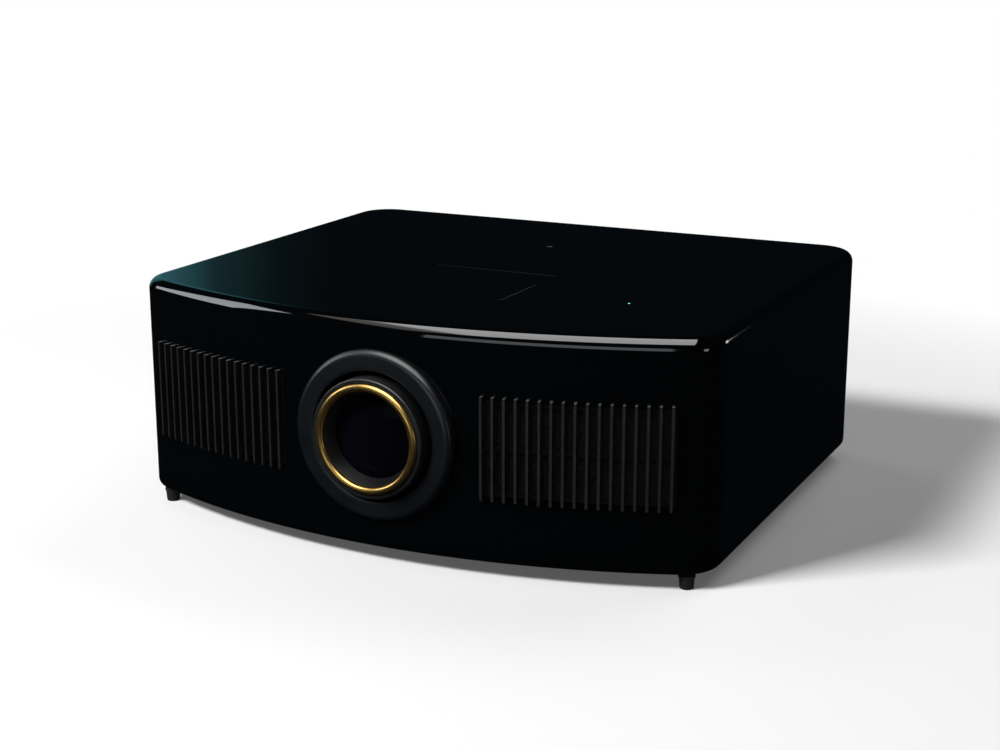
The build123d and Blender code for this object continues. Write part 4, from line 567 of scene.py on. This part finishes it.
def wheelGlass():
    look = {
        "red": (0.5, 0.02, 0.02), "green": (0.02, 0.35, 0.05), "blue": (0.02, 0.05, 0.5),
        "starts": (0.0, 0.17, 0.34, 0.5, 0.67, 0.84), "rough": 0.05, "spread": 0.07, "coat": 0.8,
        "metal": 0.3,
    }
    material, tree, shader = startMaterial(
        "wheelSegments", Coat_Weight=look["coat"], Metallic=look["metal"],
    )
    wheelLow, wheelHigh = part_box("colour_wheel")
    centred = addNode(tree, "ShaderNodeMapping", {
        "Vector": objectPlace(tree), "Location": -(wheelLow + wheelHigh) / 2,
    })
    parts = addNode(tree, "ShaderNodeSeparateXYZ", {"Vector": centred.outputs[0]}).outputs
    around = calculate(tree, "ARCTAN2", parts["Y"], parts["Z"])
    share = mapValue(tree, around, -math.pi, math.pi, 0.0, 1.0)
    ramp = addNode(tree, "ShaderNodeValToRGB", {"Fac": share})
    ramp.color_ramp.interpolation = "CONSTANT"
    colours = (look["red"], look["green"], look["blue"])
    fillRamp(ramp, list(zip(look["starts"], colours + colours)))
    grain = useGroup(tree, grainGroup, Scale=500.0, Tone_Scale=50.0)
    connect(
        tree, shader,
        Base_Color=ramp.outputs["Color"],
        Roughness=roughByTone(tree, grain, look["rough"], look["rough"] + look["spread"]),
    )
    return material


finishes = {
    "gloss_black": glossBlack(),
    "satin_black": satinPlastic("satinBlack", (0.04, 0.04, 0.042), 0.42),
    "bezel_grey": satinPlastic("bezelGrey", (0.0022, 0.0032, 0.0043), 0.33, depth=0.01 * mm, rub=0.1),
    "slat_grey": satinPlastic(
        "slatGrey", (0.0042, 0.0048, 0.005), 0.42, depth=0.01 * mm, rub=0.2, shine=0.3,
    ),
    "gold": goldTrim(),
    "lens_glass": coatedLens(),
    "optic_glass": opticGlass(),
    # its edges are lightened strongly: partly edge wear, partly a painted highlight along the edges
    "black_metal": satinPlastic("blackMetal", (0.0024, 0.0026, 0.003), 0.4, depth=0.008 * mm, rub=0.8),
    "cast_metal": metalLook("castMetal", (0.5, 0.51, 0.53), 0.5, brushed=False, depth=0.04 * mm),
    "steel": metalLook("brightSteel", (0.56, 0.56, 0.57), 0.3),
    "brass_insert": metalLook("turnedBrass", (0.64, 0.47, 0.2), 0.3),
    "rubber": rubberLook(),
    "board_green": boardLook(),
    "filter_grey": foamLook(),
    "white_plastic": satinPlastic("whitePlastic", (0.72, 0.71, 0.67), 0.45, rub=0.0),
    "ceramic": satinPlastic("paleCeramic", (0.74, 0.72, 0.68), 0.35, grainScale=2400.0, rub=0.0),
    "socket_metal": metalLook("socketMetal", (0.6, 0.6, 0.58), 0.42, brushed=False, metal=0.7),
    "status_green": lightPipe(),
    "window_dark": satinPlastic("windowDark", (0.16, 0.15, 0.16), 0.12, rub=0.0),
    "wheel_glass": wheelGlass(),
}
slotOf = {part["node"]: part["material_slot"] for part in frame["record"]["subparts"]}
for node, thing in cadNodes.items():
    thing.data.materials.clear()
    thing.data.materials.append(finishes[slotOf[node]])
print("stage: finishes made and given to the CAD nodes")


# Each entry is a piece's name, its node and the width of its edge rounding
def dressNodes(pieces):
    for pieceName, (node, width) in pieces.items():
        dressedCopy(pieceName, node, finishes[slotOf[node]], slotOf[node], width)
        print("stage:", pieceName, "dressed")


# The lens: the gold ring is turned about the lens axis, and the tubes are softened copies

bezelLow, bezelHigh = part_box("lens_bezel")
bezelCrest = 6.0 * mm        # how far the bezel's crest stands before the middle of the front
lensCentre = Vector((0.0, bezelLow[1] + bezelCrest, (bezelLow[2] + bezelHigh[2]) / 2))
backwards, upwards = Vector((0, 1, 0)), Vector((0, 0, 1))


def makeGoldRing():
    look = {
        "innerSeat": (37.0, -11.9, 0.0), "outerSeat": (43.1, -11.9, 0.0), "outerEdge": (43.1, -16.2, 2.9),
        "innerEdge": (37.0, -16.2, 2.9), "arcSteps": 10, "steps": 180, "smooth": 40.0,
    }
    corners = [look[name] for name in ("innerSeat", "outerSeat", "outerEdge", "innerEdge")]
    profile = profileInMm(corners, look["arcSteps"])
    ring = turnedPiece("goldRing", profile, lensCentre, backwards, upwards, look["steps"])
    bpy.ops.object.shade_smooth_by_angle(angle=math.radians(look["smooth"]))
    finishPiece(ring, finishes["gold"], "gold", bodyOf["gold_ring"], "gold_ring")


makeGoldRing()
dressNodes({
    "bezelRing": ("lens_bezel", 0.35 * mm),
    "barrelTube": ("lens_barrel", 0.30 * mm),
    "focusTube": ("focus_cell", 0.20 * mm),
})
print("stage: lens dressed")


# Grilles: fine rounded slats over a plate that is nearly black as painted shade between the slats, with
# the slats' caps and fronts painted lighter as painted light

def makeGrille(pieceName, node):
    look = {
        "edge": 0.16 * mm, "frontRadius": 614.0 * mm, "plateDepth": 0.7 * mm, "slatFacePaintedLight": 3.75 * mm,
        "level": 0.7,
    }
    grille = dressedCopy(pieceName, node, finishes["slat_grey"], "slat_grey", look["edge"])
    for material in (platePaintedShade, slatFacePaintedLight, slatCapPaintedLight):        # material slots 1, 2 and 3
        grille.data.materials.append(material)
    arcCentre = Vector((0.0, lensCentre.y + look["frontRadius"]))
    # sunk faces get the plate's painted shade, faces turned up get the caps' painted light, the slat
    # fronts a fainter painted light, and the flanks keep the darker slat finish
    for face in grille.data.polygons:
        proud = (Vector(face.center[:2]) - arcCentre).length - look["frontRadius"]
        if proud < -look["plateDepth"]:
            face.material_index = 1
        elif abs(face.normal.z) > look["level"]:
            face.material_index = 3
        elif proud > look["slatFacePaintedLight"]:
            face.material_index = 2


# Painted shade: the plate between the slats is nearly black. Painted light: the slat fronts are a little
# lighter than the flanks, and the caps far lighter
platePaintedShade = satinPlastic("platePaintedShade", (0.0008, 0.0009, 0.001), 0.7, rub=0.0, shine=0.15)
slatFacePaintedLight = satinPlastic("slatFacePaintedLight", (0.006, 0.0064, 0.0066), 0.4, depth=0.01 * mm, rub=0.2, shine=0.3)
slatCapPaintedLight = satinPlastic("slatCapPaintedLight", (0.055, 0.057, 0.058), 0.4, depth=0.01 * mm, rub=0.2)
makeGrille("leftGrilleSlats", "left_grille")
makeGrille("rightGrilleSlats", "right_grille")
print("stage: grilles dressed")


# Levelling feet: one is turned, the others are copies

def makeFeet():
    look = {
        "sole": (4.2, 0.0, 0.0), "tip": (5.3, 0.0, 0.9), "grooveLow": (5.93, 8.9, 0.15),
        "groove": (5.7, 9.2, 0.1), "shoulder": (6.0, 9.6, 0.15), "collarLow": (6.0, 10.4, 0.0),
        "collarEdge": (6.5, 10.4, 0.2), "collarTop": (6.5, 12.0, 0.3), "arcSteps": 4, "threadRoot": 2.6,
        "threadCrest": 3.0, "threadStart": 12.0, "threadEnd": 36.5, "threadFlat": 0.1, "pitch": 1.25,
        "steps": 56, "smooth": 35.0,
    }
    names = ("sole", "tip", "grooveLow", "groove", "shoulder", "collarLow", "collarEdge", "collarTop")
    corners = profileInMm([look[name] for name in names], look["arcSteps"])
    thread = []
    for turn in range(int((look["threadEnd"] - look["threadStart"]) / look["pitch"])):
        rise = look["threadStart"] + turn * look["pitch"]
        thread.append((look["threadRoot"] * mm, (rise + look["threadFlat"]) * mm))
        thread.append((look["threadCrest"] * mm, (rise + look["pitch"] / 2) * mm))
    top = look["threadEnd"] * mm
    profile = [(0.0, 0.0)] + [tuple(point) for point in corners] + thread
    profile += [(look["threadRoot"] * mm, top), (0.0, top)]
    model = turnedPiece("footModel", profile, (0, 0, 0), upwards, (1, 0, 0), look["steps"], closed=False)
    bpy.ops.object.shade_smooth_by_angle(angle=math.radians(look["smooth"]))
    for node in ("front_left_foot", "front_right_foot", "rear_left_foot", "rear_right_foot"):
        low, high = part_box(node)
        foot = model.copy()
        foot.data = model.data.copy()
        foot.name = "turned_" + node
        bpy.context.scene.collection.objects.link(foot)
        foot.location = ((low[0] + high[0]) / 2, (low[1] + high[1]) / 2, low[2])
        settle(foot)
        finishPiece(foot, finishes["rubber"], "rubber", bodyOf[node], node)
        foot.data.materials.append(finishes["steel"])
        for face in foot.data.polygons:        # the stud above the collar is steel
            if face.center.z - low[2] > look["threadStart"] * mm:
                face.material_index = 1
    bpy.data.objects.remove(model)


makeFeet()
print("stage: feet turned")


# Pieces whose CAD form is right and whose edges get the small rounding of the real moulding or casting

dressNodes({
    "hatchLid": ("top_hatch", 0.25 * mm),
    "rearPanelPlate": ("rear_panel", 0.3 * mm),
    "socketShells": ("metal_sockets", 0.12 * mm),
    "phonoSockets": ("rca_sockets", 0.2 * mm),
    "inletBody": ("mains_inlet", 0.3 * mm),
    "rockerKey": ("power_rocker", 0.4 * mm),
    "powerKey": ("power_button", 0.35 * mm),
    "menuKey": ("menu_button", 0.35 * mm),
    "upKey": ("up_button", 0.35 * mm),
    "downKey": ("down_button", 0.35 * mm),
    "lampDoorPanel": ("lamp_door", 0.3 * mm),
    "screwSet": ("case_screws", 0.12 * mm),
    "windowLens": ("remote_window", 0.2 * mm),
    "statusDome": ("status_light_pipe", 0.3 * mm),
    "dialWheelX": ("shift_dial_x", 0.15 * mm),
    "dialWheelZ": ("shift_dial_z", 0.15 * mm),
})


# Signs on the keys, each a thin printed plate on the end of its button

def keyPlate(name, place, outline, thickness):
    corners = [Vector(place) + Vector((-across * mm, 0.0, up * mm)) for across, up in outline]
    plate = pointChain(name, corners)
    bpy.ops.mesh.edge_face_add()
    bpy.ops.mesh.extrude_region_move(TRANSFORM_OT_translate={"value": (0, -thickness, 0)})
    bpy.ops.mesh.select_all(action="SELECT")
    bpy.ops.mesh.normals_make_consistent(inside=False)
    objectMode()
    settle(plate)
    return plate


def barOutline(halfAcross, low, high):
    return ((-halfAcross, low), (halfAcross, low), (halfAcross, high), (-halfAcross, high))


def makeKeySigns():
    look = {
        "thickness": 0.05 * mm, "sink": 0.03 * mm, "ringInner": 1.35 * mm, "ringOuter": 1.75 * mm,
        "steps": 40,
    }
    signs = {
        "powerBar": ("power_button", barOutline(0.2, 0.4, 2.2)),
        "menuBarTop": ("menu_button", barOutline(1.7, 1.0, 1.4)),
        "menuBarMiddle": ("menu_button", barOutline(1.7, -0.2, 0.2)),
        "menuBarLow": ("menu_button", barOutline(1.7, -1.4, -1.0)),
        "upArrow": ("up_button", ((-1.7, -1.1), (1.7, -1.1), (0.0, 1.7))),
        "downArrow": ("down_button", ((-1.7, 1.1), (0.0, -1.7), (1.7, 1.1))),
    }
    for name, (node, outline) in signs.items():
        low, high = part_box(node)
        face = high[1] - look["sink"] + look["thickness"]
        place = ((low[0] + high[0]) / 2, face, (low[2] + high[2]) / 2)
        plate = keyPlate(name, place, outline, look["thickness"])
        finishPiece(plate, signWhite, "white_plastic", bodyOf[node])
    low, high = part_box("power_button")
    middle = ((low[0] + high[0]) / 2, high[1] - look["sink"], (low[2] + high[2]) / 2)
    inner, outer, top = look["ringInner"], look["ringOuter"], look["thickness"]
    profile = ((inner, 0.0), (outer, 0.0), (outer, top), (inner, top))
    ring = turnedPiece("powerRing", profile, middle, backwards, upwards, look["steps"])
    finishPiece(ring, signWhite, "white_plastic", bodyOf["power_button"])


signWhite = satinPlastic("signWhite", (0.45, 0.45, 0.44), 0.5, depth=0.01 * mm, rub=0.3)
makeKeySigns()
print("stage: key signs made")


# Floor, backdrop and light. Polished surfaces show a dark room with a few bright boards in it, and
# not the white floor and backdrop.

roomTint, roomStrength = (0.45, 0.7, 1.0), 0.008
roomGlow = tuple(channel * roomStrength for channel in roomTint)


def makeFloor():
    look = {
        "size": 40.0, "colour": (0.78, 0.78, 0.78), "rough": 0.9, "whiteFrom": 0.56, "whiteTo": 0.9,
        "lift": 0.09,        # light of its own, for the camera alone, that keeps shadows grey
    }
    deselectAll()
    bpy.ops.mesh.primitive_plane_add(size=look["size"], location=(0, 0, 0))
    floor = bpy.context.object
    floor.name = "paleFloor"
    material, tree, shader = startMaterial(
        "paleFloor", Base_Color=(*look["colour"], 1.0), Roughness=look["rough"], Specular_IOR_Level=0.0,
        Emission_Color=(1, 1, 1, 1),
    )
    rays = addNode(tree, "ShaderNodeLightPath").outputs
    lift = calculate(tree, "MULTIPLY", rays["Is Camera Ray"], look["lift"])
    connect(tree, shader, Emission_Strength=lift)
    distance = addNode(tree, "ShaderNodeVectorMath", {0: objectPlace(tree)}, operation="LENGTH")
    fade = mapValue(tree, distance.outputs["Value"], look["whiteFrom"], look["whiteTo"], 0.0, 1.0)
    white = addNode(tree, "ShaderNodeEmission", {"Color": (1, 1, 1, 1), "Strength": 1.0})
    faded = addNode(tree, "ShaderNodeMixShader", {0: fade, 1: shader.outputs[0], 2: white.outputs[0]})
    dark = addNode(tree, "ShaderNodeEmission", {"Color": (*roomTint, 1.0), "Strength": roomStrength})
    shown = addNode(tree, "ShaderNodeMixShader", {
        0: rays["Is Glossy Ray"], 1: faded.outputs[0], 2: dark.outputs[0],
    })
    tree.links.new(shown.outputs[0], tree.nodes["Material Output"].inputs["Surface"])
    floor.data.materials.append(material)


def makeWorld():
    ambient = 0.03
    world = bpy.data.worlds.new("paleRoom")
    bpy.context.scene.world = world
    world.use_nodes = True
    tree = world.node_tree
    rays = addNode(tree, "ShaderNodeLightPath").outputs
    seen = calculate(tree, "MAXIMUM", rays["Is Camera Ray"], rays["Is Transmission Ray"])
    unseen = mapValue(tree, rays["Is Glossy Ray"], 0.0, 1.0, ambient, roomStrength)
    strength = addNode(tree, "ShaderNodeMix", {"Factor": seen, "A": unseen, "B": 1.0}, data_type="FLOAT")
    tint = mixColour(tree, rays["Is Glossy Ray"], (1, 1, 1), roomTint)
    connect(tree, tree.nodes["Background"], Color=tint, Strength=strength.outputs["Result"])


# A lamp that points at the object and that polished surfaces don't show
def makeLamp(name, place, size, power):
    lamp = bpy.data.lights.new(name, "AREA")
    lamp.shape = "RECTANGLE"
    lamp.size, lamp.size_y = size
    lamp.energy = power
    thing = bpy.data.objects.new(name, lamp)
    bpy.context.scene.collection.objects.link(thing)
    thing.location = place
    thing.rotation_euler = (-Vector(place)).to_track_quat("-Z", "Y").to_euler()
    thing.visible_camera = False
    thing.visible_glossy = False


# A board that only polished surfaces show, so that it lights nothing by itself
def makeCard(name, place, size, ramp, tilt=90.0, turn=0.0):
    deselectAll()
    bpy.ops.mesh.primitive_plane_add(size=1.0, location=(0, 0, 0))
    card = bpy.context.object
    card.name = name
    card.scale = (*size, 1.0)
    card.location = place
    card.rotation_euler = (math.radians(tilt), 0, math.radians(turn))
    material = bpy.data.materials.new(name)
    material.use_nodes = True
    tree = material.node_tree
    tree.nodes.clear()
    across = addNode(tree, "ShaderNodeSeparateXYZ", {"Vector": objectPlace(tree)}).outputs["X"]
    shades = addNode(tree, "ShaderNodeValToRGB", {"Fac": mapValue(tree, across, -0.5, 0.5, 0.0, 1.0)})
    fillRamp(shades, ramp)
    glow = addNode(tree, "ShaderNodeEmission", {"Color": shades.outputs["Color"], "Strength": 1.0})
    surface = addNode(tree, "ShaderNodeOutputMaterial")
    tree.links.new(glow.outputs[0], surface.inputs["Surface"])
    card.data.materials.append(material)
    for rays in ("camera", "diffuse", "transmission", "volume_scatter", "shadow"):
        setattr(card, "visible_" + rays, False)


def evenly(colour):
    return ((0.0, colour), (1.0, colour))


makeFloor()
makeWorld()
lamps = {
    "keySoftbox": {"place": (-2.184, -3.006, 3.346), "size": (1.5, 0.9), "power": 334.0},
    "backLeftSoftbox": {"place": (-2.345, 1.354, 3.594), "size": (1.4, 0.9), "power": 10.0},
    "backRightSoftbox": {"place": (1.084, 2.682, 3.447), "size": (3.2, 1.2), "power": 42.0},
}
for lampName, values in lamps.items():
    makeLamp(lampName, **values)
cards = {
    "overheadCard": {        # the long highlight on the front's top edge
        "place": (-0.38, -0.98, 2.82), "size": (3.6, 2.9), "tilt": 24.0, "turn": 24.0,
        "ramp": (
            (0.0, (1.0, 0.95, 0.9)), (0.2, (1.6, 1.5, 1.4)), (0.27, (6.8, 6.8, 6.8)),
            (1.0, (6.4, 6.4, 6.4)),
        ),
    },
    "frontCard": {        # the thin dim line below it
        "place": (0.17, -2.7, 0.4), "size": (2.06, 0.8), "ramp": evenly((1.5, 1.6, 1.7)),
    },
    "leftCard": {        # the short highlight at the left end
        "place": (-1.6, -0.69, 1.035), "size": (0.78, 1.17), "turn": -90.0,
        "ramp": ((0.0, (4.2, 4.4, 4.6)), (1.0, (5.6, 5.8, 6.0))),
    },
    "rightSpotCard": {        # this one and the next make the glints at the right corner
        "place": (2.0, -0.6, 0.12), "size": (0.4, 0.36), "turn": 75.0, "ramp": evenly((3.2, 3.0, 2.8)),
    },
    "backSpotCard": {
        "place": (1.75, 2.55, 0.42), "size": (0.7, 0.5), "turn": 148.0, "ramp": evenly((5.0, 4.9, 4.8)),
    },
    "tealCard": {        # the teal shade at the left of the top
        "place": (-2.35, 2.0, 0.75), "size": (2.4, 2.2), "turn": 42.0,
        "ramp": (
            (0.0, (0.1, 0.36, 0.42)), (0.645, (0.09, 0.34, 0.39)), (0.68, (0.054, 0.204, 0.239)),
            (0.725, (0.018, 0.057, 0.065)), (0.79, (0.006, 0.014, 0.017)), (0.85, roomGlow),
        ),
    },
}
for cardName, values in cards.items():
    makeCard(cardName, **values)

cameraLook = {"eye": (0.64017, -1.32006, 0.49046), "target": (0.00605, -0.00962, 0.10120), "lens": 63.94}
camera = bpy.data.cameras.new("photoCamera")
camera.lens = cameraLook["lens"]
camera.sensor_width = 36.0
camera.clip_start, camera.clip_end = 0.01, 100.0
viewer = bpy.data.objects.new("photoCamera", camera)
bpy.context.scene.collection.objects.link(viewer)
viewer.location = cameraLook["eye"]
sight = Vector(cameraLook["target"]) - viewer.location
viewer.rotation_euler = sight.to_track_quat("-Z", "Y").to_euler()
bpy.context.scene.camera = viewer
bpy.context.scene.view_settings.view_transform = "Standard"
print("stage: floor, light and camera set")
